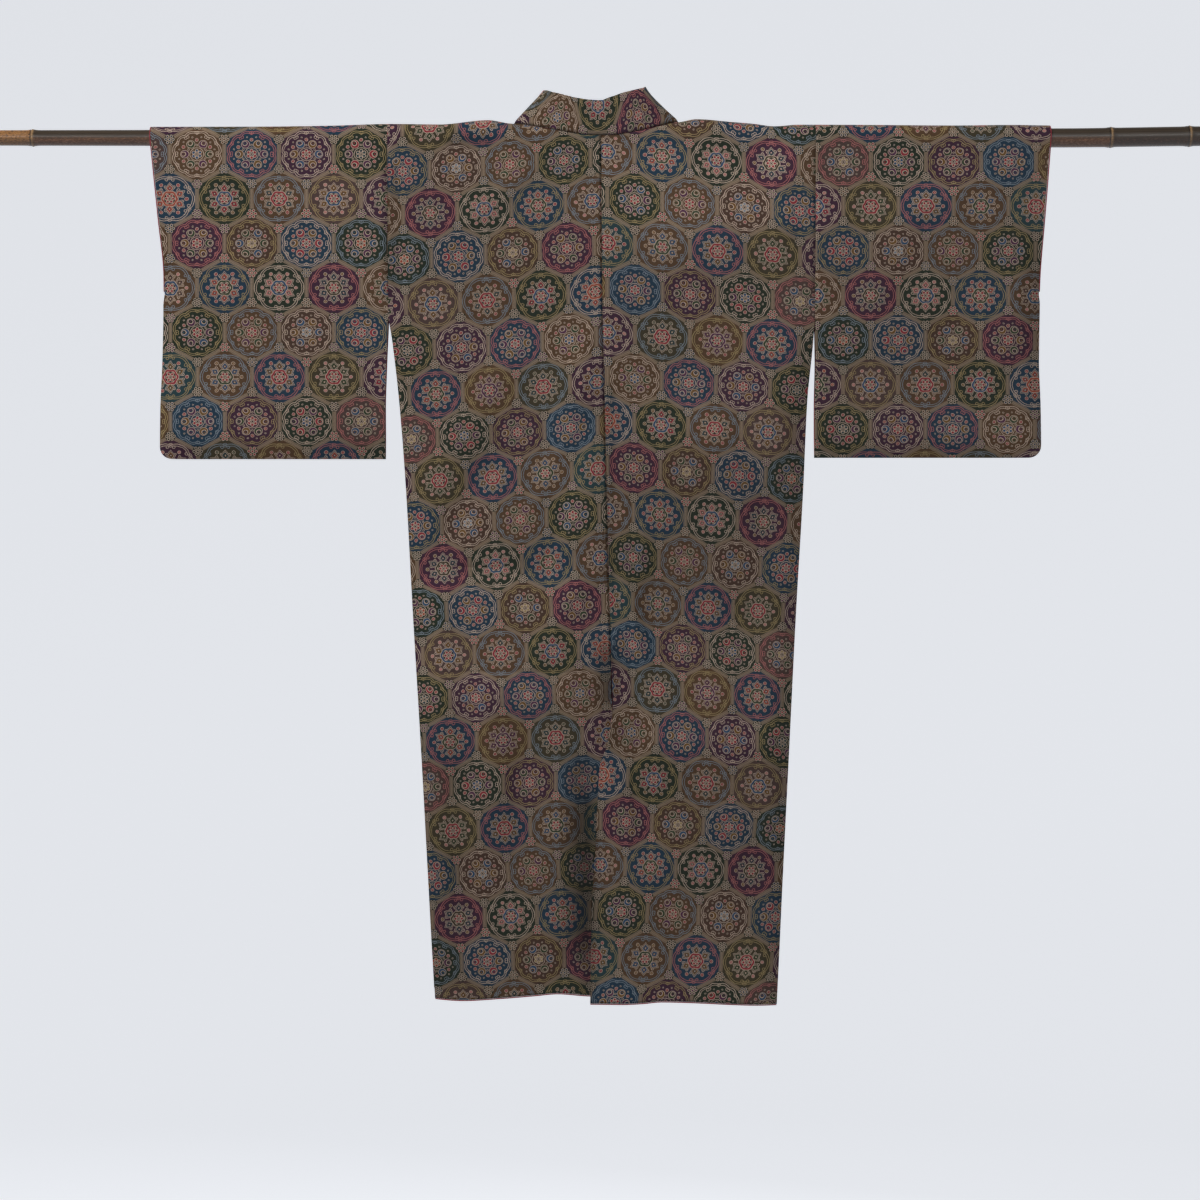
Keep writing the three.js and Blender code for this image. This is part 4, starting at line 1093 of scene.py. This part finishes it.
silk, tree = new_material("figured_silk")
cloth = add("UVMap", uv_map="woven")
stray = add("TexNoise", {"Vector": cloth, "Scale": 160.0, "Detail": 1.0}, "Color")
stray = add("VectorMath ADD", [stray, (-0.5, -0.5, -0.5)])
strayed = add("VectorMath MULTIPLY_ADD", [stray, (2 * WAVER, 2 * WAVER, 0), cloth])
place = add("VectorMath MULTIPLY", [strayed, (1 / (COLUMN_PITCH * MM), HEX / (ROW_PITCH * MM), 0)])
star_local = add("VectorMath WRAP", [place, HALF_CELL, (-0.5, -HEX, 0)])
round_place = add("VectorMath SUBTRACT", [place, HALF_CELL])
round_local = add("VectorMath WRAP", [round_place, HALF_CELL, (-0.5, -HEX, 0)])
star_far = add("VectorMath LENGTH", [star_local], "Value")
round_far = add("VectorMath LENGTH", [round_local], "Value")
is_star = add("Math LESS_THAN", [star_far, round_far])
local = add("Mix VECTOR", {0: is_star, 4: round_local, 5: star_local}, 1)
centre = add("VectorMath SUBTRACT", [place, local])
print("nodes so far:", len(tree.nodes))

# %% [markdown]
# ## Figured silk: one wedge stands for twelve
#
# Each medallion looks the same in every twelfth of a turn. Folding the angle back and forth between 0 and
# 30 degrees brings any point into one wedge, so a circle drawn there once appears all the way round. A second
# fold, between 0 and 60 degrees, tells one blossom from the next, so that their two colours alternate.

# %% The wedge
CELLS = COLUMNS_IN_REPEAT * STAR_ROWS_IN_REPEAT
TWELFTH = np.pi / 6

centre_xy = add("SeparateXYZ", [centre]).node.outputs
column = add("Math ADD", [centre_xy["X"], 0.25])
column = add("Math FLOOR", [column])
column = add("Math FLOORED_MODULO", [column, COLUMNS_IN_REPEAT])
row = add("Math MULTIPLY_ADD", [centre_xy["Y"], 1 / (2 * HEX), 0.25])
row = add("Math FLOOR", [row])
row = add("Math FLOORED_MODULO", [row, STAR_ROWS_IN_REPEAT])
cell = add("Math MULTIPLY_ADD", [row, COLUMNS_IN_REPEAT, column])
cell = add("Math MULTIPLY_ADD", [cell, 1 / CELLS, 0.5 / CELLS])


def folded(vector, wedge):
    """Distance from the origin, the angle, and the point at that distance and the folded angle."""
    xy = add("SeparateXYZ", [vector]).node.outputs
    far = add("VectorMath LENGTH", [vector], "Value")
    turn = add("Math ARCTAN2", [xy["Y"], xy["X"]])
    angle = add("Math PINGPONG", [turn, wedge])
    x = add("Math COSINE", [angle])
    y = add("Math SINE", [angle])
    unit = add("CombineXYZ", [x, y])
    return far, turn, add("VectorMath SCALE", {0: unit, "Scale": far})


far, turn, wedge = folded(local, TWELFTH)
parity = add("Math PINGPONG", [turn, 2 * TWELFTH])
parity = add("Math GREATER_THAN", [parity, TWELFTH])
wedge_x = add("SeparateXYZ", [wedge], "X")
print("cells in a repeat:", 2 * CELLS)

# %% [markdown]
# ## Figured silk: the colour chart
#
# The weaver changes the colours from cell to cell: five columns and eight rows before the chart starts
# again. The two charts below are read like a knitting chart, one letter for each cell and one line for each
# part of the medallion. A colour ramp with constant steps looks a letter up by the cell's number.

# %% The colour chart
DYES = {
    "n": "#1b2f3f",  # indigo
    "g": "#1e251c",  # dark green
    "p": "#341e2d",  # plum
    "o": "#4a3625",  # ochre-brown
    "b": "#3f2d24",  # brown
    "m": "#443430",  # mauve-brown
    "t": "#203438",  # teal
    "v": "#363022",  # olive
    "l": "#aa9787",  # undyed light silk
    "k": "#9a5f5c",  # pink
    "r": "#7e2630",  # crimson
    "a": "#8a3f30",  # orange-red
    "y": "#5f431f",  # light ochre
    "w": "#26415c",  # blue
    "e": "#293623",  # green
    "u": "#45243d",  # violet
    "d": "#141111",  # near black
    "s": "#6c5d4e",  # taupe ground
    "h": "#8c7965",  # lighter taupe
    "j": "#6f7880",  # blue-grey
    "c": "#8c7a55",  # straw
}
DYES = {letter: linear(colour) for letter, colour in DYES.items()}
round_chart = {
    "field": "gobng npgmo onpgm pbngo",
    "outline": "cjlcl jclkc lklcj kcljl",
    "first": "uuwrr uyrwu euwrw eerwe",
    "second": "weyyy yeuee uyyue ywyuu",
    "centre": "rrjrr rrwcr wrrtr rcrar",
}
star_chart = {
    "field": "ongpo tonvp pvong ngomp",
    "outline": "jclkl cjkcl ljckl lcjcl",
    "star": "makte ywyer ytuak artye",
    "ring": "wewvw rerrw wruer awrwe",
    "bud": "krkyr ryrkk kerry ryrka",
}


def dyed(value, letters):
    """The colour of a letter, looked up by a value from 0 to 1 in a ramp with one constant step for each."""
    node = add("ValToRGB", [value]).node
    node.color_ramp.interpolation = "CONSTANT"
    steps = node.color_ramp.elements
    letters = letters.replace(" ", "")
    for number, letter in enumerate(letters):
        start = number / len(letters)
        step = steps[number] if number < 2 else steps.new(start)
        step.position = start
        step.color = DYES[letter]
    return node.outputs[0]


round_dyes = DYES | {part: dyed(cell, letters) for part, letters in round_chart.items()}
star_dyes = DYES | {part: dyed(cell, letters) for part, letters in star_chart.items()}
round_dyes["blossom"] = add("Mix RGBA", {0: parity, 6: round_dyes["first"], 7: round_dyes["second"]}, 2)
print("dyes:", len(DYES))

# %% [markdown]
# ## Figured silk: drawing the medallions
#
# A disc is every point nearer to a centre than its radius, and a ring is every point whose distance is
# within half a line of its radius. The medallions are short lists of them, painted one over the other. Each
# line says the shape, its dye, how far from the medallion's middle and at what angle of the wedge it stands,
# and its radius; a ring adds half its line, and the distance past which alone it shows. All are shares of a
# column. A lozenge and a scalloped disc are measured in a way of their own.

# %% The medallions' discs and rings
round_motifs = """
ring outline 0.300 15 0.153 0.0058 0.30
ring outline 0.300 15 0.119 0.0050 0.30
ring outline 0.372 3 0.025 0.0050
ring outline 0.418 28 0.021 0.0046
disc l 0.336 16 0.016
disc d 0.336 16 0.009
disc l 0.222 0 0.080
disc blossom 0.222 0 0.071
disc l 0.240 0 0.047
disc field 0.243 0 0.036
disc blossom 0.247 0 0.015
disc l 0.280 30 0.033
disc r 0.280 30 0.024
disc l 0.280 30 0.007
disc l 0.176 30 0.020
disc d 0.176 30 0.012
disc l 0 0 0.130
disc field 0 0 0.120
disc l 0.067 30 0.034
disc centre 0.067 30 0.023
disc l 0 0 0.026
disc d 0 0 0.016
"""
star_motifs = """
ring outline 0.190 0 0.262 0.0058 0.20
ring outline 0.190 0 0.226 0.0050 0.20
ring outline 0.372 21 0.025 0.0050
ring outline 0.418 28 0.021 0.0046
ring l 0.244 11 0.020 0.0046
disc l 0.306 0 0.035
disc bud 0.306 0 0.026
disc l 0.306 0 0.007
lozenge l 0 0 1.50
lozenge field 0 0 1.34
lozenge l 0 0 1.08
lozenge star 0 0 0.92
lozenge field 0 0 0.48
lozenge l 0 0 0.24
scallop l 0 0 0.156
scallop ring 0 0 0.146
scallop l 0 0 0.112
disc d 0 0 0.103
disc l 0.062 0 0.032
disc r 0.062 0 0.021
disc l 0 0 0.024
disc d 0 0 0.014
"""
LOZENGE = (0.205, 0.078, 0.062)  # its middle's distance along the corner direction, half length, half width
SCALLOP_WAVES, SCALLOP_HEIGHT = 6.0, -0.007

corner_way = (np.cos(TWELFTH), np.sin(TWELFTH), 0)
corner_aside = (-corner_way[1], corner_way[0], 0)
forward = add("VectorMath DOT_PRODUCT", [wedge, corner_way], "Value")
forward = add("Math SUBTRACT", [forward, LOZENGE[0]])
forward = add("Math ABSOLUTE", [forward])
forward = add("Math MULTIPLY", [forward, 1 / LOZENGE[1]])
aside = add("VectorMath DOT_PRODUCT", [wedge, corner_aside], "Value")
aside = add("Math ABSOLUTE", [aside])
lozenge = add("Math MULTIPLY_ADD", [aside, 1 / LOZENGE[2], forward])
wave = add("Math MULTIPLY", [turn, SCALLOP_WAVES])
wave = add("Math COSINE", [wave])
scallop = add("Math MULTIPLY_ADD", [wave, SCALLOP_HEIGHT, far])
MEASURES = {"lozenge": lozenge, "scallop": scallop}


def painted(ground, point, distance, motifs, dyes):
    """Paints each motif over the ground: its mask picks the dye where a point lies in it."""
    for motif in motifs.strip().splitlines():
        shape, dye, *sizes = motif.split()
        at, angle, radius, half_line, beyond = ([float(size) for size in sizes] + [0, 0])[:5]
        if shape in MEASURES:
            reach = MEASURES[shape]
        elif at == 0:
            reach = distance
        else:
            middle = (at * np.cos(np.radians(angle)), at * np.sin(np.radians(angle)), 0)
            reach = add("VectorMath DISTANCE", [point, middle], "Value")
        if shape == "ring":
            mask = add("Math COMPARE", [reach, radius, half_line])
        else:
            mask = add("Math LESS_THAN", [reach, radius])
        if beyond:
            outside = add("Math GREATER_THAN", [distance, beyond])
            mask = add("Math MULTIPLY", [mask, outside])
        ground = add("Mix RGBA", {0: mask, 6: ground, 7: dyes[dye]}, 2)
    return ground


round_cloth = painted(round_dyes["field"], wedge, far, round_motifs, round_dyes)
star_cloth = painted(star_dyes["field"], wedge, far, star_motifs, star_dyes)
figured = add("Mix RGBA", {0: is_star, 6: round_cloth, 7: star_cloth}, 2)
print("nodes so far:", len(tree.nodes))

# %% [markdown]
# ## Figured silk: the ground between the medallions
#
# Between the cells runs a taupe band with fine lines along it, and a rosette stands wherever three cells
# meet. The distance to a hexagon's side is just the x of a point in the wedge, so each line of the band is
# one compare. A rosette's colour is random but must be the same from all three cells, so it comes from the
# corner's own place on the cloth.

# %% The band and the rosettes
BAND_TINT = 0.28  # share of the cell's own field colour in the band on its side
bands = [("s", 0.462, 0.60), ("h", 0.468, 0.478), ("h", 0.490, 0.510)]  # dye, from and to, of a column
own_field = add("Mix RGBA", {0: is_star, 6: round_dyes["field"], 7: star_dyes["field"]}, 2)
for dye, from_x, to_x in bands:
    inside = add("Math COMPARE", [wedge_x, (from_x + to_x) / 2, (to_x - from_x) / 2])
    tinted = add("Mix RGBA", {0: BAND_TINT, 6: DYES[dye], 7: own_field}, 2)
    figured = add("Mix RGBA", {0: inside, 6: figured, 7: tinted}, 2)

CORNER = (0.5, 0.5 / np.sqrt(3), 0)
ROSETTE_DYES = "rgndrovu"
rosette_motifs = """
disc g 0 0 0.098
disc l 0.067 0 0.028
disc rosette 0.067 0 0.0175
disc l 0 0 0.030
disc rosette 0 0 0.018
"""
from_corner = add("VectorMath SUBTRACT", [wedge, CORNER])
corner_far, _, petal_wedge = folded(from_corner, TWELFTH)
snapped = add("VectorMath ADD", [place, (0.25, CORNER[1] / 2, 0)])
snapped = add("VectorMath SNAP", [snapped, (0.5, CORNER[1], 1)])
chance = add("TexWhiteNoise", {"Vector": snapped}, "Value", noise_dimensions="3D")
rosette_dyes = DYES | {"rosette": dyed(chance, ROSETTE_DYES)}
figured = painted(figured, petal_wedge, corner_far, rosette_motifs, rosette_dyes)
print("nodes so far:", len(tree.nodes))

# %% [markdown]
# ## Figured silk: thread, sheen and age
#
# Silk threads differ in thickness, so the colour is broken up in short streaks along the weft, and an old
# robe has faded unevenly. The finish is satin rather than glossy: a rough dielectric with a little sheen
# where the cloth turns away.

# %% Thread, fading and the shader
SLUB_SIZE = (900.0, 420.0, 1.0)  # streaks a metre: finer down the cloth than across, about 1.1 by 2.4 mm
streaks = add("VectorMath MULTIPLY", [cloth, SLUB_SIZE])
thread = add("TexNoise", {"Vector": streaks, "Scale": 1.0, "Detail": 2.0})
thread_shade = add("MapRange", [thread, 0.3, 0.7, 0.84, 1.16])
body_place = add("TexCoord", out="Object")
fade = add("TexNoise", {"Vector": body_place, "Scale": 3.2, "Detail": 3.0})
fade_shade = add("MapRange", [fade, 0.3, 0.7, 0.93, 1.07])
shade = add("Math MULTIPLY", [thread_shade, fade_shade])
# the patches are fading and painted light and shade: darker in the pleat and beside the seams, lighter on the
# shoulders
patches = add("Attribute", out="Fac", attribute_name="fade_and_painted_shade")
shade = add("Math MULTIPLY_ADD", [shade, patches, shade])
satin = {
    "Base Color": add("VectorMath SCALE", {0: figured, "Scale": shade}),
    "Roughness": 0.68,
    "Specular IOR Level": 0.12,
    "Sheen Weight": 0.03,
    "Sheen Roughness": 0.5,
    "Normal": add("Bump", {"Height": thread, "Strength": 0.35, "Distance": 0.0003}),
}
add("OutputMaterial", [add("BsdfPrincipled", satin)])
print("figured silk: nodes", len(tree.nodes))

# %% [markdown]
# ## Red lining silk
#
# The lining is a light plain-weave silk dyed red with safflower or madder. Its threads cross one over one,
# so the relief is a small chequer of humps: the sine of one direction times the sine of the other. Dye takes
# unevenly, which gives soft paler clouds and fine slubs.

# %% Lining
THREAD = 0.00045  # metres from one thread to the next
lining, tree = new_material("red_plain_weave_lining")
spot = add("TexCoord", out="Object")
spot_xyz = add("SeparateXYZ", [spot]).node.outputs
warp = add("Math MULTIPLY", [spot_xyz["X"], np.pi / THREAD])
weft = add("Math MULTIPLY", [spot_xyz["Z"], np.pi / THREAD])
weave = add("Math MULTIPLY", [add("Math SINE", [warp]), add("Math SINE", [weft])])
stretched = add("VectorMath MULTIPLY", [spot, (60.0, 60.0, 900.0)])
slub = add("TexNoise", {"Vector": stretched, "Scale": 1.0, "Detail": 2.0})
slub_shade = add("MapRange", [slub, 0.3, 0.7, 0.86, 1.12])
cloud = add("TexNoise", {"Vector": spot, "Scale": 9.0, "Detail": 3.0})
cloudy = add("MapRange", [cloud, 0.35, 0.7])
red = add("Mix RGBA", {0: cloudy, 6: linear("#7c1926"), 7: linear("#902a33")}, 2)
soft_silk = {
    "Base Color": add("VectorMath SCALE", {0: red, "Scale": slub_shade}),
    "Roughness": 0.5,
    "Specular IOR Level": 0.3,
    "Sheen Weight": 0.15,
    "Sheen Roughness": 0.4,
    "Normal": add("Bump", {"Height": weave, "Strength": 0.4, "Distance": 0.0001}),
}
add("OutputMaterial", [add("BsdfPrincipled", soft_silk)])
print("red lining: nodes", len(tree.nodes))

# %% [markdown]
# ## Smoked bamboo
#
# Bamboo that has hung for years over a hearth turns brown with soot and is rubbed until it shines. It isn't
# even: the last length on the left stayed golden, and the underside is warmer and speckled where the soot
# came off. On the last length on the right the lower half is near black, and each node keeps a pale ring with
# a dark line in the groove beside it. The fibres run along the culm, so the noise is stretched along it.

# %% Bamboo
GOLDEN_UNTIL = -0.8405  # metres along the rod, at a node
DARK_UNDERSIDE_FROM = 0.75  # from here on the right the lower half is near black and barely speckled
EDGE = 0.001
bamboo, tree = new_material("smoked_bamboo")
spot = add("TexCoord", out="Object")
spot_xyz = add("SeparateXYZ", [spot]).node.outputs
fibres = add("VectorMath MULTIPLY", [spot, (9.0, 700.0, 700.0)])
fibre = add("TexNoise", {"Vector": fibres, "Scale": 1.0, "Detail": 3.0})
mottles = add("VectorMath MULTIPLY", [spot, (280.0, 640.0, 640.0)])
mottle = add("TexNoise", {"Vector": mottles, "Scale": 1.0, "Detail": 4.0})
bare = add("MapRange", [mottle, 0.5, 0.62])
below = add("MapRange", [spot_xyz["Z"], 0.001, -0.005])
unsooted = add("MapRange", [spot_xyz["X"], GOLDEN_UNTIL + EDGE, GOLDEN_UNTIL - EDGE])
warm_underside = add("MapRange", [spot_xyz["X"], DARK_UNDERSIDE_FROM - EDGE, DARK_UNDERSIDE_FROM + EDGE, 1.0, 0.25])
speckled = add("Math MULTIPLY", [bare, below])
speckled = add("Math MULTIPLY", [speckled, warm_underside])
# the lower half: warm brown, and near black on the last length on the right
under = add("Mix RGBA", {0: warm_underside, 6: linear("#17110e"), 7: linear("#59381f")}, 2)
sooty = add("Mix RGBA", {0: below, 6: linear("#3b3127"), 7: under}, 2)
sooty = add("Mix RGBA", {0: speckled, 6: sooty, 7: linear("#805941")}, 2)
golden = add("Mix RGBA", {0: bare, 6: linear("#8d643c"), 7: linear("#503624")}, 2)
skin = add("Mix RGBA", {0: unsooted, 6: sooty, 7: golden}, 2)
for mark, colour in (("node_ring", "#957652"), ("node_groove", "#1a120d")):
    here = add("Attribute", out="Fac", attribute_name=mark)
    skin = add("Mix RGBA", {0: here, 6: skin, 7: linear(colour)}, 2)
fibre_shade = add("MapRange", [fibre, 0.3, 0.7, 0.62, 1.3])
rubbed = {
    "Base Color": add("VectorMath SCALE", {0: skin, "Scale": fibre_shade}),
    "Roughness": 0.36,
    "Specular IOR Level": 0.22,
    "Coat Weight": 0.4,
    "Coat Roughness": 0.13,
    "Normal": add("Bump", {"Height": fibre, "Strength": 0.2, "Distance": 0.0003}),
}
add("OutputMaterial", [add("BsdfPrincipled", rubbed)])
print("smoked bamboo: nodes", len(tree.nodes))

# %% [markdown]
# ## Finishes on the pieces, and the solids they are drawn instead of
#
# A finish could be picked by hand for each piece, but a piece's name already says what it is made of. So one
# loop reads the first word of the name. Cloth gets two finishes, silk outside and lining inside. Then each
# piece is hung under the root, and the solids of the frame that the pieces are drawn instead of are hidden.

# %% Assigning
MADE_OF = {"silk": [silk, lining], "red": [lining], "bamboo": [bamboo]}
for name, piece in pieces.items():
    kind = name.split("_")[0]
    for material in MADE_OF[kind]:
        piece.data.materials.append(material)
    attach(piece, "root")

for side in SIGN:
    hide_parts(f"body_{side}")
    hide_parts(f"sleeve_{side}")
    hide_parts(f"okumi_{side}")
    for part in ("back", "front", "okumi"):
        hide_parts(f"hem_roll_{part}_{side}")
    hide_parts(f"cuff_roll_{side}")
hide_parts("collar")
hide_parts("collar_cover")
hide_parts("bamboo_rod")
print("pieces:", len(pieces))

# %% [markdown]
# ## The number of sheets
#
# Every piece of a robe is cut flat from the bolt, so its surface can't be larger than its cut. Here the
# sheets are only counted.

# %% Sheets
print("sheets:", 2 * 3 + 2)

# %% [markdown]
# ## Camera
#
# The robe is seen square on, as a museum shows a textile. A short lens close by would spread its sides, so
# this one is long and far off, and the sides stay straight.

# %% Camera
SCALE = 1.476  # millimetres across one pixel of the frame, in the robe's own plane
FRAME_PIXELS = 1200
CAMERA_CENTRE = (-3, -682)  # x and z of the frame's middle
LENS = 80
SENSOR = 36
distance = FRAME_PIXELS * SCALE * LENS / SENSOR
camera_data = bpy.data.cameras.new("camera")
camera_data.lens = LENS
camera_data.sensor_width = SENSOR
camera_data.clip_end = 60
camera = bpy.data.objects.new("camera", camera_data)
camera.location = (CAMERA_CENTRE[0] * MM, -distance * MM, CAMERA_CENTRE[1] * MM)
camera.rotation_euler = (np.pi / 2, 0, 0)
bpy.context.scene.collection.objects.link(camera)
bpy.context.scene.camera = camera
print("camera distance", round(distance), "mm")

# %% [markdown]
# ## Floor
#
# A flat floor and a wall would meet in a line behind the robe. Here the ground is one pale sheet that curves
# up all round, a lathe like the rod, and leaves no horizon. It glows a little, so that the robe stands
# before an even tone with no shadow on it.

# %% Floor
PAPER_GLOW = 0.68
# the sizes, in millimetres
FLOOR = -2600
FLAT_RADIUS = 6000
BOWL_RADIUS = 4000
WALL_TOP = 9000
FLOOR_SIDES = 96
bend = np.linspace(0, np.pi / 2, 25)
flat_r = np.concatenate([[20], np.linspace(1000, FLAT_RADIUS, 6)])
curved_r = FLAT_RADIUS + BOWL_RADIUS * np.sin(bend[1:])
curved_z = FLOOR + BOWL_RADIUS * (1 - np.cos(bend[1:]))
bowl_r = np.concatenate([flat_r, curved_r, [FLAT_RADIUS + BOWL_RADIUS]])[:, None]
bowl_z = np.concatenate([np.full(len(flat_r), FLOOR), curved_z, [WALL_TOP]])[:, None]
around = 2 * np.pi * np.arange(FLOOR_SIDES) / FLOOR_SIDES
quads, index, _ = ring_faces(len(bowl_r), FLOOR_SIDES)
bowl = points(bowl_r * np.cos(around), bowl_r * np.sin(around), bowl_z)
floor = new_object("pale_floor", bowl, quads + [index[0].tolist()])
paper, tree = new_material("pale_paper")  # matt paper, with a glow of its own that keeps it free of shadows
matt = {
    "Base Color": linear("#e2e4e8"),
    "Roughness": 0.95,
    "Specular IOR Level": 0.0,
    "Emission Color": linear("#e8ebf1"),
    "Emission Strength": PAPER_GLOW,
}
add("OutputMaterial", [add("BsdfPrincipled", matt)])
floor.data.materials.append(paper)
floor.visible_shadow = False
floor.visible_diffuse = False
print("floor", -FLOOR, "mm under the rod")

# %% [markdown]
# ## Light
#
# The light is large and soft from the upper left. It could be one lamp, but a lamp that is large enough to be
# soft puts no clear line on the bamboo. So one more, long and low, shows in reflections alone.

# %% Light
WORLD_STRENGTH = 0.18
LIGHT_AIM = np.array([0, 0, -0.55])
# name: watts, width and height in metres, place
LIGHTS = {
    "key": (181, 1.4, 1.4, (-2.2, -2.2, 3.0)),
    "strip": (30, 5.0, 0.4, (0, -4.2, 1.0)),
    "gleam": (100, 5.0, 0.5, (0, -4.2, 1.0)),
    "rear": (50, 1.4, 1.4, (1.6, 3.8, 0.3)),
}
IN_REFLECTIONS = "gleam"  # it lays the clear line along the rod and lights nothing else

world = bpy.data.worlds.new("soft_room")
world.use_nodes = True
world.node_tree.nodes["Background"].inputs["Color"].default_value = linear("#ffffff")
world.node_tree.nodes["Background"].inputs["Strength"].default_value = WORLD_STRENGTH
bpy.context.scene.world = world

for name, (power, width, height, at) in LIGHTS.items():
    light_data = bpy.data.lights.new(name, "AREA")
    light_data.shape = "RECTANGLE"
    light_data.size = width
    light_data.size_y = height
    light_data.energy = power
    light = bpy.data.objects.new(name, light_data)
    light.location = at
    beam = LIGHT_AIM - np.array(at)
    light.rotation_euler = (np.arccos(-beam[2] / np.linalg.norm(beam)), 0, np.arctan2(-beam[0], beam[1]))
    light.visible_camera = False
    light.visible_glossy = name == IN_REFLECTIONS
    light.visible_diffuse = name != IN_REFLECTIONS
    bpy.context.scene.collection.objects.link(light)
    print("light:", name, power, "W")
bpy.context.scene.view_settings.view_transform = "Standard"
